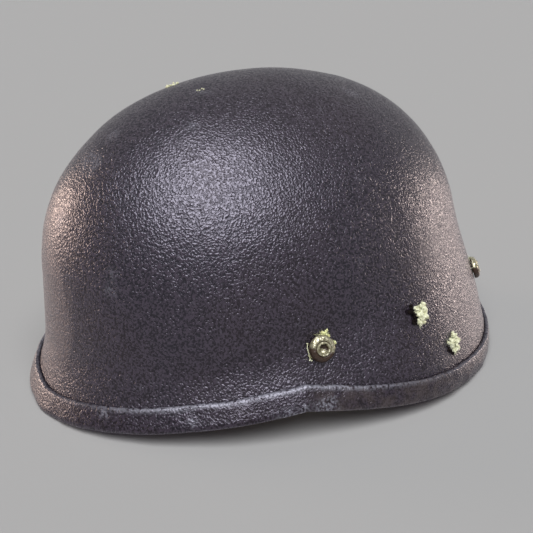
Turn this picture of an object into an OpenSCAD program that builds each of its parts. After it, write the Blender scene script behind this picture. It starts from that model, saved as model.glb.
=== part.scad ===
// Ballistic helmet: a moulded composite bowl with a rubber edge trim, a webbing suspension,
// a dial adjusted headband and a two part chin strap that is folded back inside the rim.
// Front is -Y, the wearer's left is +X, and the trim rests on z = 0.

/* [Bowl] */
// Half width of the bowl above the ears, to the outside of the wall
bowl_side = 102; // [98:0.5:110]
// Reach of the bowl forwards from its centre
bowl_front = 127; // [122:0.5:134]
// Reach of the bowl backwards from its centre
bowl_rear = 119.5; // [115:0.5:126]
// Height of the crown above the resting plane
bowl_top = 160; // [154:0.5:170]
// Thickness of the moulded wall
wall = 9; // [7.5:0.25:10.5]
// Height at which the side starts to curve over
side_spring = 38.5; // [30:0.5:46]
// Height at which the forehead starts to curve over
front_spring = 62.5; // [54:0.5:70]
// Height at which the back starts to curve over
rear_spring = 69; // [60:0.5:78]
// Fullness of the side's arch
side_fullness = 1.98; // [1.9:0.01:2.1]
// Fullness of the forehead's arch
front_fullness = 2.18; // [2.05:0.01:2.3]
// Fullness of the back's arch
rear_fullness = 2.15; // [2.05:0.01:2.3]
// Slope of the forehead below its arch, in mm outwards for each mm down
brow_lean = 0.05; // [0:0.01:0.08]

/* [Flare] */
// Outward flare of the brim at the front
brow_flare = 8; // [6:0.25:10]
// Outward flare at the temples
temple_flare = 10.75; // [8:0.25:12]
// Outward bulge over the ears
ear_flare = 18; // [14:0.25:20]
// Outward flare over the nape
nape_flare = 18.5; // [15:0.25:20]
// Height of the cove above the brim
brow_cove = 33.5; // [30:0.5:40]
// Height of the cove above the temples
temple_cove = 46; // [40:0.5:52]
// Height of the cove above the ear bulge
ear_cove = 71; // [64:0.5:78]
// Height of the cove above the nape
nape_cove = 90; // [82:0.5:96]

/* [Rim] */
// Height of the bowl's edge at the middle of the brow
brow_rim = 2; // [1.9:0.05:2.1]
// Height of the bowl's edge at the corner in front of the ear
corner_rim = 17.7; // [14:0.1:20]
// Height of the bowl's edge at the bottom of the ear bulge
lobe_rim = 2; // [1.9:0.05:2.1]
// Height of the bowl's edge at the nape
nape_rim = 7.2; // [4:0.1:10]
// Bearing of the corner in front of the ear, from the wearer's side towards the back
corner_bearing = -25; // [-35:5:-20]
// Bearing of the bottom of the ear bulge
lobe_bearing = 45; // [40:5:55]

/* [Edge trim] */
// How far the trim covers the outside of the bowl
trim_cover = 8.9; // [7:0.1:11]
// How far the trim covers the inside of the bowl
trim_inner_cover = 7; // [5:0.1:9]
// Thickness of the trim on both sides of the wall
trim_thickness = 2.2; // [1.8:0.1:2.8]
// Rubber under the bowl's edge
trim_under = 2.4; // [2.3:0.05:2.6]

/* [Fasteners] */
// Bearing of the temple bolt
temple_bearing = -19.8; // [-22:0.1:-18]
// Height of the temple bolt on the outside
temple_height = 40.5; // [38:0.1:43]
// Bearing of the rear bolt
rear_bearing = 57.5; // [55:0.1:60]
// Height of the rear bolt on the outside
rear_height = 40.8; // [39:0.1:43]
// Thread diameter of the bolts
bolt_d = 6; // [5:0.5:7]
// Diameter of the button heads
bolt_head_d = 10.5; // [9.5:0.25:12]
// Height of the button heads
bolt_head_h = 3.3; // [2.8:0.1:3.8]
// Size of the hexagon socket across its flats
socket_af = 4; // [3:0.5:4.5]
// Diameter of the open holes above the ear
side_hole_d = 6.6; // [5.5:0.1:7.5]
// Bearing of the upper side hole
upper_hole_bearing = 12.8; // [11:0.1:15]
// Height of the upper side hole
upper_hole_height = 45.1; // [43:0.1:47]
// Bearing of the lower side hole
lower_hole_bearing = 21.5; // [20:0.1:24]
// Height of the lower side hole
lower_hole_height = 24.8; // [23:0.1:27]

/* [Suspension] */
// Thickness of the rubber spacers between the wall and the webbing
spacer_t = 3.5; // [2.5:0.25:4]
// Diameter of the rubber spacers
spacer_d = 13; // [11:0.5:16]
// Width of the suspension webbing
band_w = 22; // [18:1:24]
// Thickness of the suspension webbing
band_t = 1.5; // [1.2:0.1:1.8]
// Diameter of the post nuts' barrels
barrel_d = 8; // [7.4:0.2:9]
// Diameter of the post nuts' flanges
flange_d = 15; // [12:0.5:17]
// Thickness of the post nuts' flanges
flange_t = 1.5; // [1:0.1:2]
// Thickness of the washers behind the temple brackets
washer_t = 1.6; // [1.2:0.1:2.2]
// Room between the inside of the crown and the crown straps
crown_gap = 14; // [11:0.5:18]
// Width of the crown straps
crown_strap_w = 20; // [16:1:22]
// Thickness of the crown straps
crown_strap_t = 1.5; // [1.2:0.1:1.8]
// Length of the crown pad
crown_pad_l = 92; // [70:1:100]
// Width of the crown pad
crown_pad_w = 74; // [60:1:84]
// Thickness of the crown pad in its middle
crown_pad_t = 11; // [8:0.5:13]

/* [Headband] */
// Room between the suspension band and the headband at each side
headband_room_side = 8.2; // [6.5:0.1:10]
// Room between the suspension band and the headband at the front
headband_room_front = 11.2; // [9:0.1:13]
// Room between the suspension band and the headband's oval at the back
headband_room_back = 9.7; // [8.5:0.1:12]
// Thickness of the headband
headband_t = 1.8; // [1.4:0.1:2.2]
// Height of the headband over the forehead
headband_front_h = 30; // [26:1:34]
// Height of the headband at its ends
headband_rear_h = 20; // [16:1:22]
// Height of the headband's middle above the resting plane at the front
headband_front_mid = 51; // [48:0.5:56]
// Height of the headband's middle above the resting plane at the back
headband_rear_mid = 35; // [34:0.5:37]
// Thickness of the sweatband in its middle
sweatband_t = 7; // [5:0.5:9]
// Half angle that the sweatband covers on both sides of the forehead
sweatband_half = 72; // [55:1:80]
// Width of a headband clip
clip_w = 8; // [6:0.5:10]
// Height of a headband clip
clip_h = 6; // [5:0.5:7]
// Width of the nape pad
nape_pad_w = 58; // [54:1:74]
// Thickness of the nape pad in its middle
nape_pad_t = 9; // [7:0.5:11]

/* [Dial] */
// Module of the dial's pinion and racks
gear_module = 1.25; // [1.15:0.05:1.3]
// Number of teeth on the pinion
pinion_teeth = 10; // [10:2:12]
// Travel of each rack either way from the middle
rack_travel = 9; // [6:0.5:10]
// Thickness of a rack
rack_t = 1.8; // [1.4:0.1:2]
// Thickness of the dial housing's walls
housing_wall = 1.7; // [1.4:0.1:2]
// Diameter of the knob
knob_d = 30; // [26:0.5:32]
// Thickness of the knob
knob_t = 8; // [6:0.5:8.5]
// Number of finger grooves round the knob
knob_grooves = 14; // [10:1:18]
// Diameter of the pinion's shaft
shaft_d = 8; // [6:0.5:9]

/* [Chin strap] */
// Width of the chin strap
strap_w = 19; // [16:0.5:20]
// Thickness of the chin strap
strap_t = 1.5; // [1.2:0.1:1.8]
// Thickness of the steel brackets
bracket_t = 1.5; // [1.2:0.1:1.8]
// Distance from a bracket's eye to its slot
bracket_reach = 19; // [17:0.5:22]
// Diameter of a bracket's eye plate
eye_plate_d = 16; // [14:0.5:18]
// Height of the folded strap above the resting plane
strap_mid = 15; // [14:0.5:16]
// Room between the wall and the middle of the folded strap
strap_room = 9; // [8:0.25:10]
// Bearing at which the left strap's webbing ends
left_strap_end = 22; // [18:1:26]
// Bearing, mirrored, at which the right strap's webbing ends
right_strap_end = 58; // [50:1:60]
// Width of the side release buckle
buckle_w = 24; // [22:0.5:25]
// Thickness of the side release buckle
buckle_t = 8; // [7:0.25:8.5]
// Length of the chin cup along the strap
chin_cup_l = 56; // [44:1:62]
// Height of the chin cup in its middle
chin_cup_h = 28; // [24:1:30]
// Thickness of the chin cup in its middle
chin_cup_t = 6; // [4:0.5:7]
// Length of a strap slider
slider_l = 10; // [8:1:14]

/* [Clearances] */
// Play of a bolt in the bowl and of webbing round the post nuts
hole_play = 0.3; // [0.2:0.05:0.5]
// Radial play of a part that turns or of a thread
running_play = 0.08; // [0.05:0.01:0.1]
// Gap between pieces that rest on each other
seat_gap = 0.3; // [0.25:0.05:0.4]
// Gap that allows for a flat piece against the curved wall
curve_gap = 0.75; // [0.5:0.05:0.8]
// Play of webbing and sliders in their slots
slot_play = 0.5; // [0.4:0.05:0.7]

/* [Hidden] */
$fn = 48;
around_step = 5;
outer_rows = 18;
inner_rows = 14;
shell_black = "#2b282d";
rubber_black = "#222124";
webbing_grey = "#4a4d45";
leather_brown = "#5b4636";
plastic_black = "#2e3033";
steel_grey = "#8d8f90";
brass_olive = "#8c8468";

// Smooth step from 0 to 1
function smooth(t) = let (c = max(0, min(1, t))) c * c * (3 - 2 * c);
function total(v, i = 0) = i < len(v) ? v[i] + total(v, i + 1) : 0;
function unit(v) = v / norm(v);
function mix(a, b, t) = a + (b - a) * t;
// Bearing folded onto the wearer's left half: -90 front, 0 side, 90 back
function folded(phi) = atan2(sin(phi), abs(cos(phi)));
// Value that passes smoothly from knot to knot
function knots(x, kx, kv) =
  kv[0] + total([for (i = [0:len(kx) - 2])
                   (kv[i + 1] - kv[i]) * smooth((x - kx[i]) / (kx[i + 1] - kx[i]))]);

// The bowl's shape
flare_bearings = [-90, -55, -25, 15, 90];
flares = [brow_flare, brow_flare, temple_flare, ear_flare, nape_flare];
coves = [brow_cove, brow_cove, temple_cove, ear_cove, nape_cove];
brow_curve = 0.6;
ear_curve = 1.6;
cove_curve = 1.63;
side_cove_from = -40;
side_cove_over = 50;
lobe_blend = 90 - lobe_bearing;

// Height of the bowl's edge at a bearing
function rim(phi) =
  let (f = folded(phi))
  f < corner_bearing
    ? mix(brow_rim, corner_rim, pow((1 + sin(f)) / (1 + sin(corner_bearing)), brow_curve))
  : f < lobe_bearing
    ? mix(lobe_rim, corner_rim, pow((lobe_bearing - f) / (lobe_bearing - corner_bearing), ear_curve))
  : mix(lobe_rim, nape_rim, smooth((f - lobe_bearing) / lobe_blend));

// Half width of an arch at a height: upright to its spring, then curving over to the crown
function arch(reach, spring, fullness, z, inset) =
  let (t = max(0, min(1, (z - spring) / (bowl_top - inset - spring))))
  (reach - inset) * pow(1 - pow(t, fullness), 1 / fullness);

function flare_at(phi, z) =
  let (f = folded(phi), cove = knots(f, flare_bearings, coves),
       t = max(0, min(1, (cove - z) / (cove - rim(phi)))),
       w = smooth((f - side_cove_from) / side_cove_over))
  knots(f, flare_bearings, flares) * ((1 - w) * pow(t, cove_curve) + w * smooth(t));

// Distance from the axis to the bowl's outside, or to a surface that lies inset from it
function radius(phi, z, inset = 0) =
  let (a = max(0.001, arch(bowl_side, side_spring, side_fullness, z, inset)),
       b = max(0.001, sin(phi) < 0
         ? arch(bowl_front, front_spring, front_fullness, z, inset)
           + (z < front_spring ? brow_lean * (front_spring - z) : 0)
         : arch(bowl_rear, rear_spring, rear_fullness, z, inset)))
  1 / sqrt(pow(cos(phi) / a, 2) + pow(sin(phi) / b, 2)) + flare_at(phi, z);

function at(phi, z, inset = 0) = let (r = radius(phi, z, inset)) [r * cos(phi), r * sin(phi), z];
function outward(phi, z) =
  unit(cross(at(phi + 0.5, z) - at(phi - 0.5, z), at(phi, z + 0.5) - at(phi, z - 0.5)));
function inset_of(p) = radius(atan2(p.y, p.x), p.z) - norm([p.x, p.y]);

// Depth from the outside, along an axis, at which a surface that lies inset from it is met
function depth_to(o, n, inset, s = 0, i = 0) =
  i > 8 ? s
  : let (p = o - n * s, phi = atan2(p.y, p.x))
    depth_to(o, n, inset, s + norm([p.x, p.y]) - radius(phi, p.z, inset), i + 1);

// The same, on the axis and at eight places on a circle round it
function depths_round(o, n, r, inset) =
  let (t = unit(cross([0, 0, 1], n)), b = cross(n, t))
  concat([depth_to(o, n, inset)],
         [for (a = [0:45:315]) depth_to(o + t * r * cos(a) + b * r * sin(a), n, inset)]);

// Skin over rings of points: the rings run on, or close on themselves
module skin(rings, closed = false) {
  n = len(rings);
  m = len(rings[0]);
  last = closed ? n - 1 : n - 2;
  sides = [
    for (i = [0:last], j = [0:m - 1])
      let (next = (i + 1) % n * m, side = (j + 1) % m,
           a = i * m + j, b = i * m + side, c = next + side, d = next + j)
      each [[a, b, c], [a, c, d]]
  ];
  caps = closed ? [] : [[for (j = [m - 1:-1:0]) j], [for (j = [0:m - 1]) (n - 1) * m + j]];
  polyhedron([for (r = rings) each r], concat(sides, caps), convexity = 8);
}

// Places children with +Z along a direction
module on_axis(o, n) {
  translate(o) rotate([0, acos(n.z), atan2(n.y, n.x)]) children();
}

module both_sides() {
  children();
  mirror([1, 0, 0]) children();
}

// Bolt axes and the stack of pieces on them
temple_o = at(temple_bearing, temple_height);
temple_n = outward(temple_bearing, temple_height);
rear_o = at(rear_bearing, rear_height);
rear_n = outward(rear_bearing, rear_height);
band_out = wall + spacer_t;
band_in = band_out + band_t;
barrel_hole_d = barrel_d + 2 * hole_play;
temple_flange_s =
  max(depths_round(temple_o, temple_n, flange_d / 2, band_in)) + 2 * seat_gap + washer_t + bracket_t;
rear_flange_s = max(depths_round(rear_o, rear_n, flange_d / 2, band_in)) + seat_gap;
bracket_s = temple_flange_s - seat_gap / 2 - bracket_t;
washer_s = bracket_s - seat_gap / 2 - washer_t;
band_mid =
  ((temple_o - temple_n * depth_to(temple_o, temple_n, band_in)).z
   + (rear_o - rear_n * depth_to(rear_o, rear_n, band_in)).z) / 2;
band_low = band_mid - band_w / 2;
band_high = band_mid + band_w / 2;

// The two open side holes share one axis direction, square to the line between them
upper_hole = at(upper_hole_bearing, upper_hole_height);
lower_hole = at(lower_hole_bearing, lower_hole_height);
hole_line = unit(lower_hole - upper_hole);
hole_lean = outward(upper_hole_bearing, upper_hole_height) + outward(lower_hole_bearing, lower_hole_height);
hole_axis = unit(hole_lean - hole_line * (hole_lean * hole_line));

// Bowl: outer and inner surface of the same formula, with every bolt and side hole drilled
cheek_top = 60;
low_rows = 7;
function row_z(phi, i, rows, top) =
  i < low_rows ? mix(rim(phi), cheek_top, i / low_rows)
  : cheek_top + (top - cheek_top) * sin(90 * (i - low_rows) / (rows - low_rows));

module bowl() {
  rows = outer_rows + inner_rows;
  turns = 360 / around_step;
  points = [
    for (k = [0:turns - 1])
      let (phi = k * around_step)
      each concat(
        [for (i = [0:outer_rows - 1]) at(phi, row_z(phi, i, outer_rows, bowl_top))],
        [for (i = [inner_rows - 1:-1:0]) at(phi, row_z(phi, i, inner_rows, bowl_top - wall), wall)])
  ];
  crown = turns * rows;
  faces = [
    for (k = [0:turns - 1], j = [0:rows - 1])
      let (next = (k + 1) % turns * rows, a = k * rows + j, b = k * rows + (j + 1) % rows,
           c = next + (j + 1) % rows, d = next + j)
      each j == outer_rows - 1 ? [[a, crown, d], [crown + 1, b, c]] : [[a, b, c], [a, c, d]]
  ];
  polyhedron(concat(points, [[0, 0, bowl_top], [0, 0, bowl_top - wall]]), faces, convexity = 6);
}

module drill(o, n, d, depth) {
  on_axis(o, n) translate([0, 0, -depth]) cylinder(d = d, h = 2 * depth);
}

module shell() {
  bolt_hole_d = bolt_d + 2 * hole_play;
  color(shell_black) difference() {
    bowl();
    both_sides() {
      drill(temple_o, temple_n, bolt_hole_d, 3 * wall);
      drill(rear_o, rear_n, bolt_hole_d, 3 * wall);
      drill(upper_hole, hole_axis, side_hole_d, 3 * wall);
      drill(lower_hole, hole_axis, side_hole_d, 3 * wall);
    }
  }
}

// Edge trim: a rubber channel pressed over the bowl's edge, worn flat where the helmet stands
trim_gap = 0.25;
trim_round = 0.8;

function trim_ring(phi) =
  let (e = rim(phi), low = e - trim_under, high = e + trim_cover, inner_high = e + trim_inner_cover,
       t = trim_gap + trim_thickness,
       profile = [
         [radius(phi, e) + t - trim_round, low],
         [radius(phi, e) + t, low + trim_round],
         [radius(phi, e) + t, e],
         [radius(phi, (e + high) / 2) + t, (e + high) / 2],
         [radius(phi, high) + t, high - trim_round],
         [radius(phi, high) + t - trim_round, high],
         [radius(phi, high) + trim_gap, high],
         [radius(phi, (e + high) / 2) + trim_gap, (e + high) / 2],
         [radius(phi, e) + trim_gap, e - trim_gap],
         [radius(phi, e, wall) - trim_gap, e - trim_gap],
         [radius(phi, inner_high, wall) - trim_gap, inner_high],
         [radius(phi, inner_high, wall) - t + trim_round, inner_high],
         [radius(phi, inner_high, wall) - t, inner_high - trim_round],
         [radius(phi, e, wall) - t, low + trim_round],
         [radius(phi, e, wall) - t + trim_round, low]
       ])
  [for (p = profile) [p.x * cos(phi), p.x * sin(phi), p.y]];

module edge_trim() {
  color(rubber_black) difference() {
    skin([for (phi = [0:around_step:360 - around_step]) trim_ring(phi)], closed = true);
    translate([0, 0, -trim_under]) cube([4 * bowl_side, 4 * bowl_front, 2 * trim_under], center = true);
  }
}

// Bolts: button heads with a raised collar round the socket
collar_d = 6.2;
collar_h = 0.6;
socket_depth = 2.2;

module button_bolt(o, n, flange_s) {
  head_r = bolt_head_d / 2;
  flat_r = collar_d / 2;
  lip = bolt_head_h * 0.25;
  lift = seat_gap - min(depths_round(o, n, head_r, 0));
  on_axis(o, n) translate([0, 0, lift]) difference() {
    union() {
      rotate_extrude() polygon(concat(
        [[0, 0], [head_r, 0], [head_r, lip]],
        [for (a = [15:15:90]) [mix(flat_r, head_r, cos(a)), mix(lip, bolt_head_h, sin(a))]],
        [[flat_r, bolt_head_h + collar_h], [0, bolt_head_h + collar_h]]));
      translate([0, 0, seat_gap - flange_s - lift]) cylinder(d = bolt_d, h = flange_s + lift);
    }
    translate([0, 0, bolt_head_h + collar_h - socket_depth])
      cylinder(d = socket_af / cos(30), h = 2 * socket_depth, $fn = 6);
  }
}

module temple_bolts() {
  color(brass_olive) both_sides() button_bolt(temple_o, temple_n, temple_flange_s);
}

module rear_bolts() {
  color(brass_olive) both_sides() button_bolt(rear_o, rear_n, rear_flange_s);
}

module ring(outer, inner, h) {
  difference() {
    cylinder(d = outer, h = h);
    translate([0, 0, -h]) cylinder(d = inner, h = 3 * h);
  }
}

module wall_spacer(o, n) {
  back = min(depths_round(o, n, spacer_d / 2, band_out)) - seat_gap;
  front = max(depths_round(o, n, spacer_d / 2, wall)) + seat_gap;
  on_axis(o, n) translate([0, 0, -back]) ring(spacer_d, barrel_hole_d, back - front);
}

module wall_spacers() {
  color(rubber_black) both_sides() {
    wall_spacer(temple_o, temple_n);
    wall_spacer(rear_o, rear_n);
  }
}

// Post nuts: a flange with a barrel that reaches back through the webbing to the wall
module post_nut(o, n, flange_s) {
  barrel = flange_s - max(depths_round(o, n, barrel_d / 2, wall)) - seat_gap;
  on_axis(o, n) translate([0, 0, -flange_s]) difference() {
    union() {
      cylinder(d = barrel_d, h = barrel);
      translate([0, 0, -flange_t]) cylinder(d = flange_d, h = flange_t);
    }
    translate([0, 0, -2 * flange_t]) cylinder(d = bolt_d + 2 * running_play, h = barrel + 4 * flange_t);
  }
}

module temple_post_nuts() {
  color(steel_grey) both_sides() post_nut(temple_o, temple_n, temple_flange_s);
}

module rear_post_nuts() {
  color(steel_grey) both_sides() post_nut(rear_o, rear_n, rear_flange_s);
}

module temple_washers() {
  color(steel_grey) both_sides() on_axis(temple_o, temple_n)
    translate([0, 0, -washer_s - washer_t]) ring(flange_d, barrel_hole_d, washer_t);
}

// Suspension band: webbing that follows the wall and hangs on the four bolts
band_rows = 4;

module suspension_band() {
  color(webbing_grey) difference() {
    skin([
      for (phi = [0:around_step:360 - around_step])
        concat(
          [for (i = [0:band_rows]) at(phi, mix(band_low, band_high, i / band_rows), band_out)],
          [for (i = [band_rows:-1:0]) at(phi, mix(band_low, band_high, i / band_rows), band_in)])
    ], closed = true);
    both_sides() {
      drill(temple_o, temple_n, barrel_hole_d, 3 * wall);
      drill(rear_o, rear_n, barrel_hole_d, 3 * wall);
    }
  }
}

// Four corners of a strap's section: e1 across its width, and its way along t
function strap_ring(p, e1, t, width, thickness) =
  let (e2 = cross(e1, t), a = e1 * width / 2, b = e2 * thickness / 2)
  [p - a - b, p + a - b, p + a + b, p - a + b];

// Crown straps: sewn to the band, they rise clear of the wall and cross under the crown
crown_steps = 24;
crown_sew_rise = 8;
crown_sew_z = band_low + crown_sew_rise;
crown_sew_inset = band_in + curve_gap + crown_strap_t / 2;
crown_bow = crown_strap_w * crown_strap_w / 8 / bowl_side;
layer_step = crown_strap_t + 2 * seat_gap;

function crown_bearing(bearing, u) = u < 0 ? bearing + 180 : bearing;

function crown_point(bearing, u, layer) =
  let (v = 1 - abs(u), inset = mix(crown_sew_inset, wall + crown_gap + layer * layer_step, smooth(1.4 * v)),
       z = crown_sew_z + (bowl_top - inset - crown_sew_z) * sin(90 * v))
  at(crown_bearing(bearing, u), z, inset);

// Across a crown strap: along the band where it is sewn on, square to its bearing at the crown
function crown_across(bearing, u) =
  let (phi = crown_bearing(bearing, u), side = u < 0 ? -1 : 1,
       along = at(phi + 2, crown_sew_z, crown_sew_inset) - at(phi - 2, crown_sew_z, crown_sew_inset))
  unit(mix([-sin(bearing), cos(bearing), 0], unit(along) * side, smooth(1.5 * abs(u) - 0.5)));

// Section of a crown strap, bowed as the bowl is: e1 across, its way along t
function bowed_ring(p, e1, t) =
  let (e2 = cross(e1, t), a = e1 * crown_strap_w / 2, b = e2 * crown_strap_t / 2, bow = e2 * crown_bow)
  [p - a - b + bow, p - b, p + a - b + bow, p + a + b + bow, p + b, p - a + b + bow];

module crown_strap(bearing, layer) {
  turns = [for (k = [-crown_steps / 2:crown_steps / 2]) 2 * k / crown_steps];
  path = [for (u = turns) crown_point(bearing, u, layer)];
  last = len(path) - 1;
  color(webbing_grey) skin([
    for (k = [0:last])
      bowed_ring(path[k], crown_across(bearing, turns[k]),
                 unit(path[min(k + 1, last)] - path[max(k - 1, 0)]))
  ]);
}

module crown_strap_centre() { crown_strap(90, 0); }
module crown_strap_left() { crown_strap(38, 1); }
module crown_strap_right() { crown_strap(142, 2); }

// Height at which a surface inset from the bowl's outside has a given radius
function height_at(phi, r, inset, low = cheek_top, high = 0, i = 0) =
  let (top = high == 0 ? bowl_top - inset : high, middle = (low + top) / 2)
  i > 16 ? middle
  : radius(phi, middle, inset) > r ? height_at(phi, r, inset, middle, top, i + 1)
  : height_at(phi, r, inset, low, middle, i + 1);

// Crown pad: a crowned cushion under the place where the straps cross
pad_inset = wall + crown_gap + 2 * layer_step + crown_strap_t / 2 + crown_bow + seat_gap + curve_gap;
pad_steps = 36;
pad_rows = [0.3, 0.55, 0.75, 0.88, 0.96, 1];

function pad_point(angle, f, side) =
  let (x = f * crown_pad_w / 2 * cos(angle), y = f * crown_pad_l / 2 * sin(angle),
       middle = height_at(atan2(y, x), norm([x, y]), pad_inset) - crown_pad_t / 2)
  [x, y, middle + side * crown_pad_t / 2 * sqrt(1 - pow(f, 8))];

module crown_pad() {
  n = len(pad_rows);
  rows = 2 * n - 1;
  points = [
    for (k = [0:pad_steps - 1])
      let (angle = 360 * k / pad_steps)
      each concat(
        [for (i = [0:n - 1]) pad_point(angle, pad_rows[i], -1)],
        [for (i = [n - 2:-1:0]) pad_point(angle, pad_rows[i], 1)])
  ];
  pole = pad_steps * rows;
  faces = [
    for (k = [0:pad_steps - 1])
      let (a = k * rows, d = (k + 1) % pad_steps * rows)
      each concat(
        [[pole, a, d], [pole + 1, d + rows - 1, a + rows - 1]],
        [for (j = [0:rows - 2]) each [[a + j, a + j + 1, d + j + 1], [a + j, d + j + 1, d + j]]])
  ];
  top = bowl_top - pad_inset;
  color(leather_brown)
    polyhedron(concat(points, [[0, 0, top - crown_pad_t], [0, 0, top]]), faces, convexity = 4);
}

// Headband: an oval strip, open at the back where the dial's racks cross
head_side = bowl_side - band_in - headband_room_side - headband_t;
head_front = bowl_front - band_in - headband_room_front - headband_t;
head_back = bowl_rear - band_in - headband_room_back - headband_t;
head_long = (head_front + head_back) / 2;
head_forward = (head_front - head_back) / 2;
arc_r = head_side * head_side / head_long;
arc_y = head_long - head_forward - arc_r;
tail_room = 1.5;
rack_a = arc_r + headband_t + tail_room;
rack_b = rack_a + rack_t + seat_gap;
rack_b_out = rack_b + rack_t;
housing_half = 24;
headband_end = housing_half + 3;
end_turn = acos(arc_r * sin(headband_end) / head_side);
headband_step = (180 + 2 * end_turn) / 64;

// Outward normal of the headband's oval at a turn round it, and a point that lies off it
function head_normal(turn) = unit([cos(turn) / head_side, sin(turn) / head_long, 0]);
function head_point(turn, off, z) =
  [head_side * cos(turn), head_long * sin(turn) - head_forward, z] + head_normal(turn) * off;
function head_mid(turn) =
  mix(headband_front_mid, headband_rear_mid, (1 + sin(turn)) / 2);
function head_half(turn) = mix(headband_front_h, headband_rear_h, (1 + sin(turn)) / 2) / 2;

module headband() {
  color(plastic_black) skin([
    for (k = [0:64])
      let (turn = 180 - end_turn + k * headband_step, low = head_mid(turn) - head_half(turn),
           high = head_mid(turn) + head_half(turn))
      [head_point(turn, 0, low), head_point(turn, headband_t, low),
       head_point(turn, headband_t, high), head_point(turn, 0, high)]
  ]);
}

// Section of a pad behind the headband's oval: flat towards it, crowned towards the head
pad_section = [1, 0.92, 0.7, 0.35, 0, -0.35, -0.7, -0.92, -1];
function pad_ring(turn, mid, half, thickness) =
  concat(
    [for (v = [-1, 1]) head_point(turn, -seat_gap, mid + v * half)],
    [for (v = pad_section)
      head_point(turn, -seat_gap - 0.6 - (thickness - 0.6) * sqrt(1 - pow(v, 4)), mid + v * half)]);

// Sweatband: a leather covered pad over the forehead, sewn into channels
sweatband_channels = 8;
sweatband_steps = 64;
sweatband_hem = 2;

module sweatband() {
  color(leather_brown) skin([
    for (k = [0:sweatband_steps])
      let (s = 2 * k / sweatband_steps - 1, turn = 270 + s * sweatband_half,
           puff = 1 - 0.3 * pow(cos(90 * sweatband_channels * s), 6),
           fade = 0.15 + 0.85 * pow(1 - pow(s, 10), 0.5))
      pad_ring(turn, head_mid(turn), head_half(turn) + sweatband_hem * fade, sweatband_t * puff * fade)
  ]);
}

// Nape pad: a cushion in front of the dial housing, between the headband's ends
nape_pad_steps = 32;

module nape_pad() {
  half_turn = asin(nape_pad_w / 2 / head_side);
  color(leather_brown) skin([
    for (k = [0:nape_pad_steps])
      let (s = 2 * k / nape_pad_steps - 1, fade = 0.15 + 0.85 * pow(1 - pow(s, 6), 0.5))
      pad_ring(90 + s * half_turn, headband_rear_mid, head_half(90) * (0.8 + 0.3 * fade), nape_pad_t * fade)
  ]);
}

// Headband clips: each bridges from the suspension band's face to the headband
clip_turns = [240, 300, 8, 172, 45, 135];
clip_plate_t = 1.6;
clip_z = band_high - 1.2 * clip_h;

function reach_from(p, n, inset, s = 0, i = 0) =
  let (q = p + n * s) i > 8 ? s : reach_from(p, n, inset, s + inset_of(q) - inset, i + 1);

module headband_clip(turn) {
  n = head_normal(turn);
  p = head_point(turn, headband_t + seat_gap, clip_z);
  reach = reach_from(p, n, band_in) - curve_gap;
  q = p + n * reach;
  on_axis(p, n) {
    translate([-clip_h, -clip_w / 2, 0]) cube([2 * clip_h, clip_w, clip_plate_t]);
    translate([-clip_h / 2, -clip_w / 4, 0]) cube([clip_h, clip_w / 2, reach - clip_plate_t / 2]);
  }
  on_axis(q, outward(atan2(q.y, q.x), q.z)) translate([-clip_h / 2, -clip_w / 2, -clip_plate_t])
    cube([clip_h, clip_w, clip_plate_t]);
}

module headband_clips() {
  color(plastic_black) for (turn = clip_turns) headband_clip(turn);
}

// Dial gear: involute pinion, and racks whose teeth are spaced along their arc
pressure_angle = 25;
gear_addendum = 0.8 * gear_module;
pinion_dedendum = 1.05 * gear_module;
rack_dedendum = gear_module;
backlash = 0.3;
pitch = PI * gear_module;
pitch_r = gear_module * pinion_teeth / 2;
base_r = pitch_r * cos(pressure_angle);
tip_r = pitch_r + gear_addendum;
root_r = pitch_r - pinion_dedendum;
function involute(a) = tan(a) * 180 / PI - a;
function flank_turn(r) =
  let (a = r > base_r ? acos(base_r / r) : 0)
  (pitch - backlash) / 4 / pitch_r * 180 / PI + involute(pressure_angle) - involute(a);

module pinion_outline() {
  radii = [root_r, base_r, mix(base_r, tip_r, 0.35), mix(base_r, tip_r, 0.7), tip_r];
  polygon([
    for (k = [0:pinion_teeth - 1])
      let (middle = 90 + 360 * k / pinion_teeth)
      each concat(
        [for (r = radii) let (a = middle - flank_turn(r)) [r * cos(a), r * sin(a)]],
        [for (i = [len(radii) - 1:-1:0])
          let (a = middle + flank_turn(radii[i])) [radii[i] * cos(a), radii[i] * sin(a)]])
  ]);
}

// Rack outline seen from behind: teeth along its lower bar, +X towards its tail
slot_half = rack_travel + tip_r + 1.2;
rack_tip = slot_half + 4;
rack_bar = 2.2;
rack_half_h = pitch_r + rack_dedendum + rack_bar;
slot_top = tip_r + seat_gap;

module rack_outline(r) {
  teeth = floor(slot_half / pitch);
  half_pitch_line = (pitch - backlash) / 4;
  lean = tan(pressure_angle);
  foot = half_pitch_line + rack_dedendum * lean;
  head = half_pitch_line - gear_addendum * lean;
  low = -pitch_r - rack_dedendum;
  high = -pitch_r + gear_addendum;
  difference() {
    translate([-rack_tip, -rack_half_h]) square([rack_tip + r, 2 * rack_half_h]);
    polygon(concat(
      [[slot_half, slot_top], [-slot_half, slot_top], [-slot_half, low]],
      [for (k = [-teeth:teeth - 1])
        let (x = r * sin((k + 0.5) * pitch / r * 180 / PI))
        each [[x - foot, low], [x - head, high], [x + head, high], [x + foot, low]]],
      [[slot_half, low]]));
  }
}

module arc_strip(r, thickness, half_h, from, to) {
  rotate([0, 0, 90 - to]) rotate_extrude(angle = to - from, $fn = 96)
    translate([r, -half_h]) square([thickness, 2 * half_h]);
}

module rack(r) {
  tip_turn = asin(rack_tip / r);
  translate([0, arc_y, headband_rear_mid]) intersection() {
    arc_strip(r, rack_t, rack_half_h, -tip_turn, tail_turn);
    rotate([90, 0, 0]) translate([0, 0, -2 * r]) linear_extrude(2 * r) rack_outline(r + rack_t / 2);
  }
}

module rack_left() {
  color(plastic_black) rack(rack_a);
}

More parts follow.
